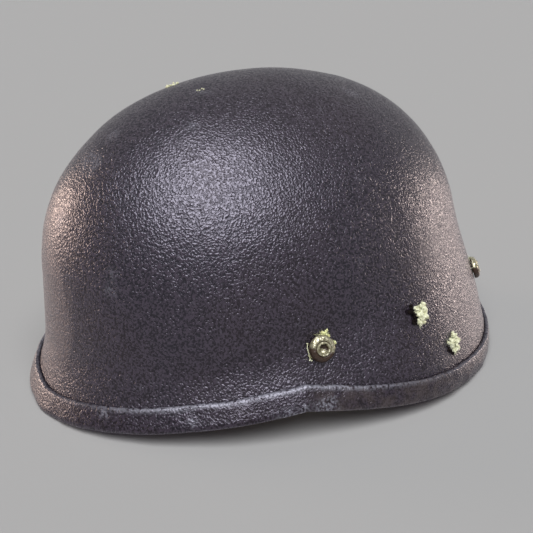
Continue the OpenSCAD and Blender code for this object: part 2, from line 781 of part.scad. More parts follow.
module rack_right() {
  color(plastic_black) translate([0, 0, 2 * headband_rear_mid]) rotate([0, 180, 0]) rack(rack_b);
}

// Rack keepers: each holds a rack's tail against the outside of the headband
keeper_wall = 1.2;
keeper_from = headband_end + 2.6;
keeper_to = keeper_from + 3;
tail_turn = keeper_to + (rack_travel + 1) / rack_a * 180 / PI;

module keeper(outer) {
  turn = acos(arc_r * sin(keeper_to) / head_side);
  high = head_mid(turn) + head_half(turn) + seat_gap;
  low = min(head_mid(turn) - head_half(turn), headband_rear_mid - rack_half_h) - seat_gap;
  front = arc_r - seat_gap;
  back = outer + seat_gap;
  translate([0, arc_y, (high + low) / 2]) difference() {
    arc_strip(front - keeper_wall, back - front + 2 * keeper_wall, (high - low) / 2 + keeper_wall,
              keeper_from, keeper_to);
    arc_strip(front, back - front, (high - low) / 2, keeper_from - 2, keeper_to + 2);
  }
}

module rack_keepers() {
  color(plastic_black) {
    keeper(rack_a + rack_t);
    mirror([1, 0, 0]) keeper(rack_b_out);
  }
}

// Dial housing: a curved box round the racks, with a bearing for the pinion's shaft
housing_in = rack_a - seat_gap - housing_wall;
housing_out = rack_b_out + seat_gap + housing_wall;
housing_half_h = rack_half_h + seat_gap + housing_wall;
stub_d = 4;
pinion_front = arc_y + rack_a - 0.1;
pinion_back = arc_y + rack_b_out - 0.2;
knob_front = arc_y + housing_out + seat_gap;

module along_y(from, to, d) {
  translate([0, to, headband_rear_mid]) rotate([90, 0, 0]) cylinder(d = d, h = to - from);
}

module dial_housing() {
  color(plastic_black) difference() {
    translate([0, arc_y, headband_rear_mid]) difference() {
      arc_strip(housing_in, housing_out - housing_in, housing_half_h, -housing_half, housing_half);
      arc_strip(rack_a - seat_gap, rack_b_out - rack_a + 2 * seat_gap, rack_half_h + seat_gap,
                -2 * housing_half, 2 * housing_half);
    }
    along_y(pinion_back, knob_front + housing_wall, shaft_d + 2 * running_play);
    along_y(arc_y + housing_in - housing_wall, pinion_front + seat_gap, stub_d + 2 * running_play);
  }
}

module dial_pinion() {
  color(steel_grey) {
    translate([0, pinion_back, headband_rear_mid]) rotate([90, 0, 0])
      linear_extrude(pinion_back - pinion_front) pinion_outline();
    along_y(arc_y + housing_in + 0.1, pinion_front + 0.1, stub_d);
    along_y(pinion_back - 0.1, knob_front + 0.6 * knob_t, shaft_d);
  }
}

module dial_knob() {
  groove_d = 4;
  rim_in = knob_d / 2 - 3.5;
  color(plastic_black) translate([0, knob_front, headband_rear_mid]) rotate([-90, 0, 0]) difference() {
    union() {
      cylinder(d = knob_d, h = knob_t - 1.5);
      translate([0, 0, knob_t - 1.5]) cylinder(d1 = knob_d, d2 = knob_d - 3, h = 1.5);
    }
    for (k = [0:knob_grooves - 1])
      rotate([0, 0, 360 * k / knob_grooves]) translate([knob_d / 2 + 0.6, 0, -1])
        cylinder(d = groove_d, h = knob_t + 2, $fn = 24);
    translate([0, 0, knob_t - 1]) cylinder(r = rim_in, h = 2);
    translate([0, 0, -1]) cylinder(d = shaft_d + 2 * running_play, h = 1 + 0.6 * knob_t + 0.1);
  }
}

// Chin strap: the left side's places, which the right side mirrors
fold_tilt = 20;
crank_angle = 12;
crank_x = eye_plate_d / 2 + 0.5;
bar_w = 3.5;
slot_w = strap_t + 2 * slot_play;
fold_l = 12;
pivot = temple_o - temple_n * (bracket_s + bracket_t / 2);
rearward = unit(cross([0, 0, 1], temple_n));
downward = cross(rearward, temple_n);
eye_x = rearward * cos(fold_tilt) + downward * sin(fold_tilt);
eye_y = cross(temple_n, eye_x);
crank_o = pivot + eye_x * crank_x;
loop_x = eye_x * cos(crank_angle) - temple_n * sin(crank_angle);
loop_z = temple_n * cos(crank_angle) + eye_x * sin(crank_angle);
bracket_bar_x = bracket_reach - crank_x + slot_w / 2 + bar_w / 2;
strap_from = bracket_bar_x + bar_w / 2 + fold_l - 1;
strap_start = crank_o + loop_x * strap_from;
start_bearing = atan2(strap_start.y, strap_start.x);
start_inset = inset_of(strap_start);
drop_over = 22;
settle_over = 40;
turn_in = 3.4;
turn_in_over = 14;

// Value that leaves a at once and comes to rest at b
function ease(a, b, t) = b + (a - b) * pow(1 - min(1, t), 2);

function strap_place(phi, end) =
  let (s = phi - start_bearing, k = max(0, (phi - end + turn_in_over) / turn_in_over))
  at(phi, ease(strap_start.z, strap_mid, s / drop_over),
     ease(start_inset, wall + strap_room, s / settle_over) + turn_in * k * k);

function strap_way(phi, end) =
  phi <= start_bearing ? loop_x : unit(strap_place(phi + 0.5, end) - strap_place(phi - 0.5, end));

// Across the webbing: square to its way and to a normal that turns from the bracket's to the wall's
function strap_across(phi, end) =
  unit(cross(mix(loop_z, [cos(phi), sin(phi), 0], smooth((phi - start_bearing) / drop_over)),
             strap_way(phi, end)));

module frame(o, x, y) {
  z = cross(x, y);
  multmatrix([[x.x, y.x, z.x, o.x], [x.y, y.y, z.y, o.y], [x.z, y.z, z.z, o.z], [0, 0, 0, 1]]) children();
}

module strap_frame(phi, end) {
  frame(strap_place(phi, end), strap_way(phi, end), strap_across(phi, end)) children();
}

// Webbing folded round a bar at the origin and sewn together towards +X
module strap_fold(bar_t) {
  half = bar_t / 2 + 0.3;
  left = -bar_w / 2 - 0.3 + half;
  right = bar_w / 2 + 1.5;
  rotate([90, 0, 0]) translate([0, 0, -strap_w / 2]) linear_extrude(strap_w) difference() {
    union() {
      translate([left, 0]) circle(r = half + strap_t);
      polygon([[left, -half - strap_t], [right, -half - strap_t], [bar_w / 2 + fold_l, -strap_t / 2],
               [bar_w / 2 + fold_l, strap_t / 2], [right, half + strap_t], [left, half + strap_t]]);
    }
    translate([left, 0]) circle(r = half);
    translate([left, -half]) square([right - left, 2 * half]);
  }
}

module webbing(end) {
  steps = ceil((end - start_bearing) / 3);
  frame(crank_o + loop_x * bracket_bar_x, loop_x, cross(loop_z, loop_x)) strap_fold(bracket_t);
  skin([
    for (k = [0:steps])
      let (phi = mix(start_bearing, end, k / steps))
      strap_ring(strap_place(phi, end), strap_across(phi, end), strap_way(phi, end), strap_w, strap_t)
  ]);
  strap_frame(end, end) translate([bar_w / 2 + fold_l - 1, 0, 0]) mirror([1, 0, 0]) strap_fold(bracket_t);
}

module chin_strap_left() {
  color(webbing_grey) webbing(left_strap_end);
}

module chin_strap_right() {
  color(webbing_grey) mirror([1, 0, 0]) webbing(right_strap_end);
}

// Cranked steel bracket: its eye turns on the post nut's barrel, its slot holds the strap
module slot_hole(x, width, length, depth) {
  translate([x - width / 2, -length / 2 + width / 2, -depth]) cube([width, length - width, 2 * depth]);
  for (side = [-1, 1])
    translate([x, side * (length - width) / 2, -depth]) cylinder(d = width, h = 2 * depth, $fn = 24);
}

module chin_bracket() {
  slot_l = strap_w + 3 * slot_play;
  loop_w = slot_l + 6;
  neck_w = eye_plate_d * 0.7;
  loop_end = bracket_bar_x + bar_w / 2;
  loop_start = bracket_bar_x - bar_w / 2 - slot_w - 3;
  corner = 2.5;
  difference() {
    union() {
      frame(pivot, eye_x, eye_y) translate([0, 0, -bracket_t / 2]) {
        cylinder(d = eye_plate_d, h = bracket_t);
        translate([0, -neck_w / 2, 0]) cube([crank_x + 0.1, neck_w, bracket_t]);
      }
      frame(crank_o, loop_x, cross(loop_z, loop_x)) translate([0, 0, -bracket_t / 2])
        linear_extrude(bracket_t) {
          polygon([[0, -neck_w / 2], [loop_start, -loop_w / 2], [loop_end - corner, -loop_w / 2],
                   [loop_end, -loop_w / 2 + corner], [loop_end, loop_w / 2 - corner],
                   [loop_end - corner, loop_w / 2], [loop_start, loop_w / 2], [0, neck_w / 2]]);
          for (side = [-1, 1])
            translate([loop_end - corner, side * (loop_w / 2 - corner)]) circle(r = corner);
        }
    }
    drill(pivot, temple_n, barrel_d + 2 * running_play, 2 * bracket_t);
    frame(crank_o, loop_x, cross(loop_z, loop_x))
      slot_hole(bracket_bar_x - bar_w / 2 - slot_w / 2, slot_w, slot_l, 2 * bracket_t);
  }
}

module chin_bracket_left() {
  color(steel_grey) chin_bracket();
}

module chin_bracket_right() {
  color(steel_grey) mirror([1, 0, 0]) chin_bracket();
}

// Slider: a flat frame round the strap
slider_play = 1.15;
slider_wall = 1.4;
left_slider_bearing = 8;
right_slider_bearing = 10;

module strap_slider(phi, end) {
  inner_h = strap_w + 2 * slot_play;
  inner_t = strap_t + 2 * slider_play;
  strap_frame(phi, end) difference() {
    cube([slider_l, inner_h + 2 * slider_wall, inner_t + 2 * slider_wall], center = true);
    cube([2 * slider_l, inner_h, inner_t], center = true);
  }
}

module strap_slider_left() {
  color(plastic_black) strap_slider(left_slider_bearing, left_strap_end);
}

module strap_slider_right() {
  color(plastic_black) mirror([1, 0, 0]) strap_slider(right_slider_bearing, right_strap_end);
}

// Side release buckle: both halves hold their strap on a bar at the origin and run on towards +X
buckle_wall = 1.6;
buckle_slot = slot_w + 1;
socket_l = 22;
prong_l = 20;
arm_w = 3;

module buckle_end(length) {
  slot_l = strap_w + 3 * slot_play;
  body_x = bar_w / 2 + buckle_slot;
  rail = (buckle_w - slot_l) / 2;
  translate([-bar_w / 2, -buckle_w / 2, -bracket_t / 2]) cube([bar_w, buckle_w, bracket_t]);
  for (side = [-1, 1])
    translate([-bar_w / 2, side * (buckle_w - rail) / 2 - rail / 2, -bracket_t / 2])
      cube([bar_w + buckle_slot + 0.1, rail, bracket_t]);
  translate([body_x, -buckle_w / 2, -buckle_t / 2]) cube([length, buckle_w, buckle_t]);
}

module socket_half() {
  body_x = bar_w / 2 + buckle_slot;
  cave_h = buckle_w - 2 * buckle_wall;
  cave_t = buckle_t - 2 * buckle_wall;
  difference() {
    buckle_end(socket_l);
    translate([body_x + buckle_wall, -cave_h / 2, -cave_t / 2]) cube([socket_l, cave_h, cave_t]);
    translate([body_x + socket_l * 0.35, -buckle_w, -cave_t / 2])
      cube([socket_l * 0.35, 2 * buckle_w, cave_t]);
  }
}

module plug_half() {
  body_l = 6;
  body_x = bar_w / 2 + buckle_slot;
  prong_x = body_x + body_l - 0.1;
  prong_t = buckle_t - 2 * buckle_wall - 2 * seat_gap;
  reach = buckle_w / 2 - buckle_wall - seat_gap;
  buckle_end(body_l);
  translate([prong_x, -arm_w / 2, -prong_t / 2]) cube([prong_l, arm_w, prong_t]);
  translate([0, 0, -prong_t / 2]) linear_extrude(prong_t)
    for (side = [-1, 1]) scale([1, side])
      polygon([[prong_x, reach - arm_w - 1], [prong_x + 0.55 * prong_l, reach - arm_w - 0.5],
               [prong_x + 0.95 * prong_l, reach - arm_w], [prong_x + 0.95 * prong_l, reach - 2],
               [prong_x + 0.55 * prong_l, reach], [prong_x + 0.4 * prong_l, reach],
               [prong_x + 0.4 * prong_l, reach - 2.2], [prong_x, reach - 1]]);
}

module at_strap_end(end) {
  strap_frame(end, end) translate([bar_w / 2 + fold_l - 1, 0, 0]) children();
}

module buckle_socket() {
  color(plastic_black) at_strap_end(left_strap_end) socket_half();
}

module buckle_plug() {
  color(plastic_black) mirror([1, 0, 0]) at_strap_end(right_strap_end) plug_half();
}

// Chin cup: a padded patch along the right strap, on the side that meets the chin
chin_cup_steps = 28;
chin_cup_back = 17;
chin_cup_flare = 8;
chin_cup_centre = right_strap_end - chin_cup_back;

module chin_cup() {
  half_turn = chin_cup_l / 2 / (bowl_side + chin_cup_flare) * 180 / PI;
  off = strap_t / 2 + seat_gap;
  color(leather_brown) mirror([1, 0, 0]) skin([
    for (k = [0:chin_cup_steps])
      let (s = 2 * k / chin_cup_steps - 1, phi = chin_cup_centre + s * half_turn,
           p = strap_place(phi, right_strap_end), up = strap_across(phi, right_strap_end),
           in = -cross(strap_way(phi, right_strap_end), up), fade = 0.2 + 0.8 * sqrt(1 - pow(s, 4)),
           half = chin_cup_h / 2 * mix(0.6, 1, fade), t = chin_cup_t * fade)
      concat(
        [for (v = [-1, 1]) p + up * v * half + in * off],
        [for (v = pad_section) p + up * v * half + in * (off + 0.5 + (t - 0.5) * sqrt(1 - pow(v, 4)))])
  ]);
}

shell();
edge_trim();
temple_bolts();
rear_bolts();
wall_spacers();
temple_post_nuts();
rear_post_nuts();
temple_washers();
suspension_band();
crown_strap_centre();
crown_strap_left();
crown_strap_right();
crown_pad();
headband();
sweatband();
headband_clips();
nape_pad();
dial_housing();
dial_pinion();
dial_knob();
rack_left();
rack_right();
rack_keepers();
chin_bracket_left();
chin_bracket_right();
chin_strap_left();
chin_strap_right();
strap_slider_left();
strap_slider_right();
buckle_socket();
buckle_plug();
chin_cup();
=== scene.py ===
"""Looks of the ballistic helmet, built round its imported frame.

Sizes are in millimetres until a mesh is made. The front is -Y, the wearer's left is +X,
and the edge trim stands on z = 0.
"""
import math

import bmesh
import bpy
import numpy as np
from mathutils import Matrix, Vector
from mathutils.bvhtree import BVHTree


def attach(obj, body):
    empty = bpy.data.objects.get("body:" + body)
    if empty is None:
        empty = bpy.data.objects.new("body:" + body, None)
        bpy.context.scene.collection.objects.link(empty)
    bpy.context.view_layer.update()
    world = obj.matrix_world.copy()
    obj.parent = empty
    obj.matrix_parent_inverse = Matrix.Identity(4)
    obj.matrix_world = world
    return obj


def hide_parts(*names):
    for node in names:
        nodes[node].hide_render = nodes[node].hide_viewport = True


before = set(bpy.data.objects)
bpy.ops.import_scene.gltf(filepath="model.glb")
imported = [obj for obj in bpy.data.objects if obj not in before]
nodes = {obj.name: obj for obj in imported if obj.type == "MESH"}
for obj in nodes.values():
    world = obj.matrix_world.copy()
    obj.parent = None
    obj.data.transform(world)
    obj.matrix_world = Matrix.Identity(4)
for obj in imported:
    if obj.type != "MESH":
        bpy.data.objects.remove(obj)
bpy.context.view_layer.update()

MM = 0.001

# Bowl
SIDE, FRONT, REAR, TOP, WALL = 102.0, 127.0, 119.5, 160.0, 9.0
SIDE_SPRING, FRONT_SPRING, REAR_SPRING = 38.5, 62.5, 69.0
SIDE_FULLNESS, FRONT_FULLNESS, REAR_FULLNESS = 1.98, 2.18, 2.15
BROW_LEAN = 0.05
BROW_RIM, CORNER_RIM, LOBE_RIM, NAPE_RIM = 2.0, 17.7, 2.0, 7.2
CORNER, LOBE = -25.0, 45.0
BROW_CURVE, EAR_CURVE, COVE_CURVE = 0.6, 1.6, 1.63
FLARE_BEARINGS = (-90, -55, -25, 15, 90)
FLARES = (8.0, 8.0, 10.75, 18.0, 18.5)
COVES = (33.5, 33.5, 46.0, 71.0, 90.0)
SOFT_FLARE_FROM, SOFT_FLARE_SPAN = -40.0, 50.0
LEAST_REACH = 0.001

# Edge trim
TRIM_COVER, TRIM_INNER_COVER, TRIM_THICKNESS, TRIM_UNDER, TRIM_GAP = 8.9, 7.0, 2.2, 2.4, 0.25
TRIM_ROUND = 1.0

# Bolts, holes and the stack behind the temple bolts
TEMPLE, REAR_BOLT = (-19.8, 40.5), (57.5, 40.8)
UPPER_HOLE, LOWER_HOLE = (12.8, 45.1), (21.5, 24.8)
HOLE_R = 3.3
BOLT_R, HEAD_R, HEAD_H, COLLAR_H, SOCKET_DEPTH = 3.0, 5.25, 3.3, 0.6, 2.2
PAINTED_HEAD_R, PAINTED_COLLAR_R, WORN_SOCKET = 6.5, 3.5, 2.4
FLANGE_R, WASHER_T, SEAT_GAP = 7.5, 1.6, 0.3
SPACER_T = 3.5

# Webbing
BAND_W, BAND_T = 22.0, 1.5
CROWN_W, CROWN_T, CROWN_GAP, CURVE_GAP = 20.0, 1.5, 14.0, 0.75
CROWN_BEARINGS = {"crown_strap_centre": 90, "crown_strap_left": 38, "crown_strap_right": 142}
STRAP_W, STRAP_T, STRAP_MID, STRAP_ROOM = 19.0, 1.5, 15.0, 9.0
STRAP_ENDS = {"left": 22.0, "right": 58.0}
BRACKET_T, BRACKET_REACH, EYE_PLATE_D, BAR_W, FOLD_L = 1.5, 19.0, 16.0, 3.5, 12.0
SLOT_PLAY = 0.5
FOLD_TILT, CRANK_ANGLE = 20.0, 12.0
DROP_OVER, SETTLE_OVER, TURN_IN, TURN_IN_OVER = 22.0, 40.0, 3.4, 14.0


def sind(a):
    return np.sin(np.radians(a))


def cosd(a):
    return np.cos(np.radians(a))


def smooth(t):
    t = np.clip(t, 0, 1)
    return t * t * (3 - 2 * t)


def ramp(x, low, high):
    """0 up to low, 1 from high"""
    return smooth((x - low) / (high - low))


def mix(a, b, t):
    return a + (b - a) * t


def unit(v):
    v = np.asarray(v, float)
    return v / np.linalg.norm(v, axis=-1, keepdims=True)


def ripple(points, size, seed, waves=28):
    """Smooth random field of about unit height, with features of that size"""
    r = np.random.default_rng(seed)
    k = r.normal(size=(waves, 3)) * (2.2 / size)
    return np.sin(np.asarray(points) @ k.T + r.uniform(0, 2 * np.pi, waves)).sum(-1) * math.sqrt(2 / waves)


def ripples(points, *layers):
    """Several such fields laid together, each as (height, size, seed)"""
    return sum(height * ripple(points, size, seed) for height, size, seed in layers)


def polar(r, phi, z):
    return np.stack([r * cosd(phi), r * sind(phi), z + 0 * r], -1)


def bearing_of(p):
    return np.degrees(np.arctan2(p[..., 1], p[..., 0]))


# The bowl's surface, by the same formula as the solid
def folded(phi):
    return np.degrees(np.arctan2(sind(phi), np.abs(cosd(phi))))


def knots(x, kx, kv):
    value = kv[0]
    for i in range(len(kx) - 1):
        value = value + (kv[i + 1] - kv[i]) * ramp(x, kx[i], kx[i + 1])
    return value


def rim(phi):
    f = folded(phi)
    rise = np.clip((1 + sind(f)) / (1 + sind(CORNER)), 0, 1)
    brow = mix(BROW_RIM, CORNER_RIM, rise**BROW_CURVE)
    ear = mix(LOBE_RIM, CORNER_RIM, np.clip((LOBE - f) / (LOBE - CORNER), 0, 1) ** EAR_CURVE)
    nape = mix(LOBE_RIM, NAPE_RIM, ramp(f, LOBE, 90))
    return np.where(f < CORNER, brow, np.where(f < LOBE, ear, nape))


def arch(reach, spring, fullness, z, inset):
    t = np.clip((z - spring) / (TOP - inset - spring), 0, 1)
    return (reach - inset) * (1 - t**fullness) ** (1 / fullness)


def flare(phi, z):
    f = folded(phi)
    cove = knots(f, FLARE_BEARINGS, COVES)
    t = np.clip((cove - z) / (cove - rim(phi)), 0, 1)
    w = smooth((f - SOFT_FLARE_FROM) / SOFT_FLARE_SPAN)
    return knots(f, FLARE_BEARINGS, FLARES) * ((1 - w) * t**COVE_CURVE + w * smooth(t))


def radius(phi, z, inset=0.0):
    s, c = sind(phi), cosd(phi)
    a = np.maximum(LEAST_REACH, arch(SIDE, SIDE_SPRING, SIDE_FULLNESS, z, inset))
    lean = BROW_LEAN * np.clip(FRONT_SPRING - z, 0, None)
    front = arch(FRONT, FRONT_SPRING, FRONT_FULLNESS, z, inset) + lean
    rear = arch(REAR, REAR_SPRING, REAR_FULLNESS, z, inset)
    b = np.maximum(LEAST_REACH, np.where(s < 0, front, rear))
    return 1 / np.sqrt((c / a) ** 2 + (s / b) ** 2) + flare(phi, z)


def place(phi, z, inset=0.0):
    return polar(radius(phi, z, inset), phi, z)


def outward(phi, z, h=0.5):
    return unit(np.cross(place(phi + h, z) - place(phi - h, z), place(phi, z + h) - place(phi, z - h)))


def axis_at(bearing, height):
    """A point of the bowl's outer surface and its way out there"""
    return place(bearing, height), outward(bearing, height)


def depth_to(o, n, inset, rounds=9):
    """How far under o, against n, the bowl's surface at that inset lies"""
    s = 0.0
    for _ in range(rounds):
        p = o - n * s
        s += math.hypot(p[0], p[1]) - radius(bearing_of(p), p[2], inset)
    return float(s)


def axes_on(n):
    """Two axes square to n and to each other"""
    t = unit(np.cross((0, 0, 1), n))
    return t, np.cross(n, t)


def depths_round(o, n, r, inset):
    """The same at o and at eight points that far round it"""
    t, b = axes_on(n)
    ring = [o + t * r * cosd(a) + b * r * sind(a) for a in range(0, 360, 45)]
    return [depth_to(p, n, inset) for p in (o, *ring)]


# Meshes
class Shape:
    """Points in millimetres, faces, and each face's corners as (along, across) in metres"""

    def __init__(self):
        self.points, self.faces, self.corners = [], [], []
        self.count = 0

    def add(self, points, faces, corners=None):
        self.points.append(np.asarray(points, float).reshape(-1, 3))
        self.faces += [[v + self.count for v in f] for f in faces]
        self.corners += corners or [[(0.0, 0.0)] * len(f) for f in faces]
        self.count += len(self.points[-1])
        return self

    def grid(self, g, wrap_n=False, wrap_m=False, caps=False):
        """Skin over a grid of points: n sections of m points each"""
        g = np.asarray(g, float)
        n, m = g.shape[:2]
        along = np.linalg.norm(np.roll(g, -1, 0) - g, axis=-1).mean(1)
        across = np.linalg.norm(np.roll(g, -1, 1) - g, axis=-1).mean(0)
        along, across = (np.concatenate([[0], np.cumsum(steps)]) * MM for steps in (along, across))
        faces, corners = [], []
        for i in range(n if wrap_n else n - 1):
            for j in range(m if wrap_m else m - 1):
                next_i, next_j = (i + 1) % n, (j + 1) % m
                faces.append([i * m + j, i * m + next_j, next_i * m + next_j, next_i * m + j])
                corners.append([(along[i], across[j]), (along[i], across[j + 1]),
                                (along[i + 1], across[j + 1]), (along[i + 1], across[j])])
        if caps:
            faces += [list(range(m - 1, -1, -1)), list(range((n - 1) * m, n * m))]
            corners += [[(0.0, 0.0)] * m, [(0.0, 0.0)] * m]
        return self.add(g, faces, corners)

    def tube(self, path, side, up, sides=6):
        """A closed tube along a path, with its half widths to the side and up"""
        rings = [path + side * cosd(a) + up * sind(a) for a in np.arange(sides) * 360 / sides]
        return self.grid(np.stack(rings, 1), wrap_m=True, caps=True)

    def mirrored(self):
        faces, corners = ([ring[::-1] for ring in rings] for rings in (self.faces, self.corners))
        return Shape().add(np.concatenate(self.points) * (-1, 1, 1), faces, corners)

    def join(self, other):
        return self.add(np.concatenate(other.points), other.faces, other.corners)

    def mesh(self, name):
        mesh = bpy.data.meshes.new(name)
        mesh.from_pydata((np.concatenate(self.points) * MM).tolist(), [], self.faces)
        layer = mesh.uv_layers.new(name="weave")
        layer.data.foreach_set("uv", [x for c in self.corners for uv in c for x in uv])
        bm = bmesh.new()
        bm.from_mesh(mesh)
        bmesh.ops.recalc_face_normals(bm, faces=bm.faces)
        bm.to_mesh(mesh)
        bm.free()
        mesh.shade_smooth()
        return mesh

    def build(self, name, body, slot, look, replaces=()):
        return dress(add_object(name, self.mesh(name)), body, look, replaces)


def add_object(name, data):
    obj = bpy.data.objects.new(name, data)
    bpy.context.scene.collection.objects.link(obj)
    return obj


def coordinates(mesh):
    co = np.zeros(len(mesh.vertices) * 3)
    mesh.vertices.foreach_get("co", co)
    return co.reshape(-1, 3)


def add_layer(obj, name, values):
    """A value at each point, for the material to read"""
    layer = obj.data.attributes.new(name, "FLOAT", "POINT")
    layer.data.foreach_set("value", values.reshape(-1).astype(np.float32))


def dress(obj, body, look, replaces=()):
    """The piece rides on its body, in its finish, in place of the solids that it replaces"""
    obj.data.materials.clear()
    obj.data.materials.append(look)
    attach(obj, body)
    if replaces:
        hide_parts(*replaces)
    return obj


def modify(obj, kind, **settings):
    modifier = obj.modifiers.new(kind.lower(), kind)
    for key, value in settings.items():
        setattr(modifier, key, value)
    return modifier


def applied(obj):
    """The object's modifiers become its mesh"""
    bpy.context.view_layer.update()
    mesh = bpy.data.meshes.new_from_object(obj.evaluated_get(bpy.context.evaluated_depsgraph_get()))
    old = obj.data
    obj.modifiers.clear()
    obj.data = mesh
    bpy.data.meshes.remove(old)


def revolve(rows, o, n, turns, seed=0, rough=0.0, rough_size=1.2):
    """A turned piece on an axis: rows of (radius or radius at each turn, height)"""
    angle = np.arange(turns) * 360 / turns
    t, b = axes_on(n)
    ring = t * cosd(angle)[:, None] + b * sind(angle)[:, None]
    grid = np.array([o + ring * np.broadcast_to(r, turns)[:, None] + n * z for r, z in rows])
    if rough:
        away = ring[None] * 0.7 + n * 0.7
        fade = np.minimum(1, np.linalg.norm(grid - grid.mean(1, keepdims=True), axis=-1) / 2)[..., None]
        grid = grid + away * rough * fade * ripple(grid, rough_size, seed)[..., None]
    return Shape().grid(grid, wrap_m=True, caps=True)


# Looks
def add_node(tree, kind, inputs=(), **settings):
    node = tree.nodes.new(kind)
    for key, value in settings.items():
        setattr(node, key, value)
    for key, value in dict(inputs).items():
        if isinstance(value, bpy.types.NodeSocket):
            tree.links.new(value, node.inputs[key])
        else:
            node.inputs[key].default_value = value
    return node


class Look:
    """A procedural material: sizes in millimetres, places from the object's own coordinates"""

    def __init__(self, name, colour, roughness, metallic=0.0, **sockets):
        self.material = bpy.data.materials.new(name)
        self.material.use_nodes = True
        self.tree = self.material.node_tree
        self.shader = self.tree.nodes["Principled BSDF"]
        sockets = {"Base Color": (*colour, 1), "Roughness": roughness, "Metallic": metallic, **sockets}
        for key, value in sockets.items():
            self.shader.inputs[key.replace("_", " ")].default_value = value
        self.where = self.node("ShaderNodeTexCoord").outputs["Object"]
        self.flat = self.node("ShaderNodeTexCoord").outputs["UV"]

    def node(self, kind, inputs=(), **settings):
        return add_node(self.tree, kind, inputs, **settings)

    def noise(self, size, detail=2.0, vector=None, distortion=0.0, colour=False):
        node = self.node("ShaderNodeTexNoise", {
            "Vector": vector or self.where, "Scale": 1 / size / MM, "Detail": detail,
            "Distortion": distortion})
        return node.outputs["Color" if colour else "Fac"]

    def streaks(self, size, detail, squeeze):
        """Noise drawn out along the axes that are squeezed"""
        drawn = self.node("ShaderNodeMapping", {"Vector": self.where, "Scale": squeeze})
        return self.noise(size, detail, drawn.outputs[0])

    def cells(self, size, vector=None, feature="SMOOTH_F1"):
        inputs = {"Vector": vector or self.where, "Scale": 1 / size / MM}
        return self.node("ShaderNodeTexVoronoi", inputs, feature=feature).outputs["Distance"]

    def vectors(self, operation, inputs):
        return self.node("ShaderNodeVectorMath", inputs, operation=operation)

    def bent(self, size, amount):
        """Coordinates shaken by noise, for outlines that aren't regular"""
        shake = self.vectors("SUBTRACT", {0: self.noise(size, colour=True), 1: (0.5, 0.5, 0.5)}).outputs[0]
        scaled = self.vectors("SCALE", {0: shake, "Scale": amount * MM}).outputs[0]
        return self.vectors("ADD", {0: self.where, 1: scaled}).outputs[0]

    def step(self, value, low, high, to_low=0.0, to_high=1.0):
        return self.node("ShaderNodeMapRange", {
            "Value": value, "From Min": low, "From Max": high, "To Min": to_low, "To Max": to_high},
            interpolation_type="SMOOTHSTEP").outputs["Result"]

    def math(self, operation, a, b=0.0):
        return self.node("ShaderNodeMath", {0: a, 1: b}, operation=operation).outputs[0]

    def times(self, a, b):
        return self.math("MULTIPLY", a, b)

    def most(self, value, *others):
        for other in others:
            value = self.math("MAXIMUM", value, other)
        return value

    def blend(self, factor, a, b):
        a, b = ((*c, 1) if isinstance(c, tuple) else c for c in (a, b))
        return self.node("ShaderNodeMix", {0: factor, 6: a, 7: b}, data_type="RGBA").outputs[2]

    def attribute(self, name):
        return self.node("ShaderNodeAttribute", attribute_name=name).outputs["Fac"]

    def near(self, spots, soft, shaken):
        """1 inside any of the spots (x, y, z, reach), with an edge that soft"""
        inside = []
        for x, y, z, reach in spots:
            gap = self.vectors("DISTANCE", {0: shaken, 1: (x * MM, y * MM, z * MM)}).outputs["Value"]
            inside.append(self.step(gap, (reach + soft) * MM, (reach - soft) * MM))
        return self.most(*inside)

    def bumps(self, *heights):
        """Bumps (height, millimetres) laid one over another"""
        below = {}
        for height, size in heights:
            node = self.node("ShaderNodeBump", {"Height": height, "Distance": size * MM, **below})
            below = {"Normal": node.outputs["Normal"]}
        self.set(**below)

    def set(self, **sockets):
        for key, value in sockets.items():
            self.tree.links.new(value, self.shader.inputs[key.replace("_", " ")])
        return self.material


INK = (0.004, 0.003, 0.006)
INK_WARM = (0.008, 0.004, 0.005)
# Paint of the pebbles' tops, lighter than in the pits, as painted shade in the grain
LIT_TOPS_INK = (0.028, 0.020, 0.030)
DUST = (0.050, 0.038, 0.036)
SCUFF = (0.22, 0.22, 0.26)
PAINT_SHEEN = (0.86, 0.83, 1.0, 1)
ARAMID, ARAMID_DARK = (0.60, 0.60, 0.36), (0.30, 0.28, 0.15)
PEBBLE, RUBBED, CHIP_DEPTH = 1.05, 0.11, 1.5


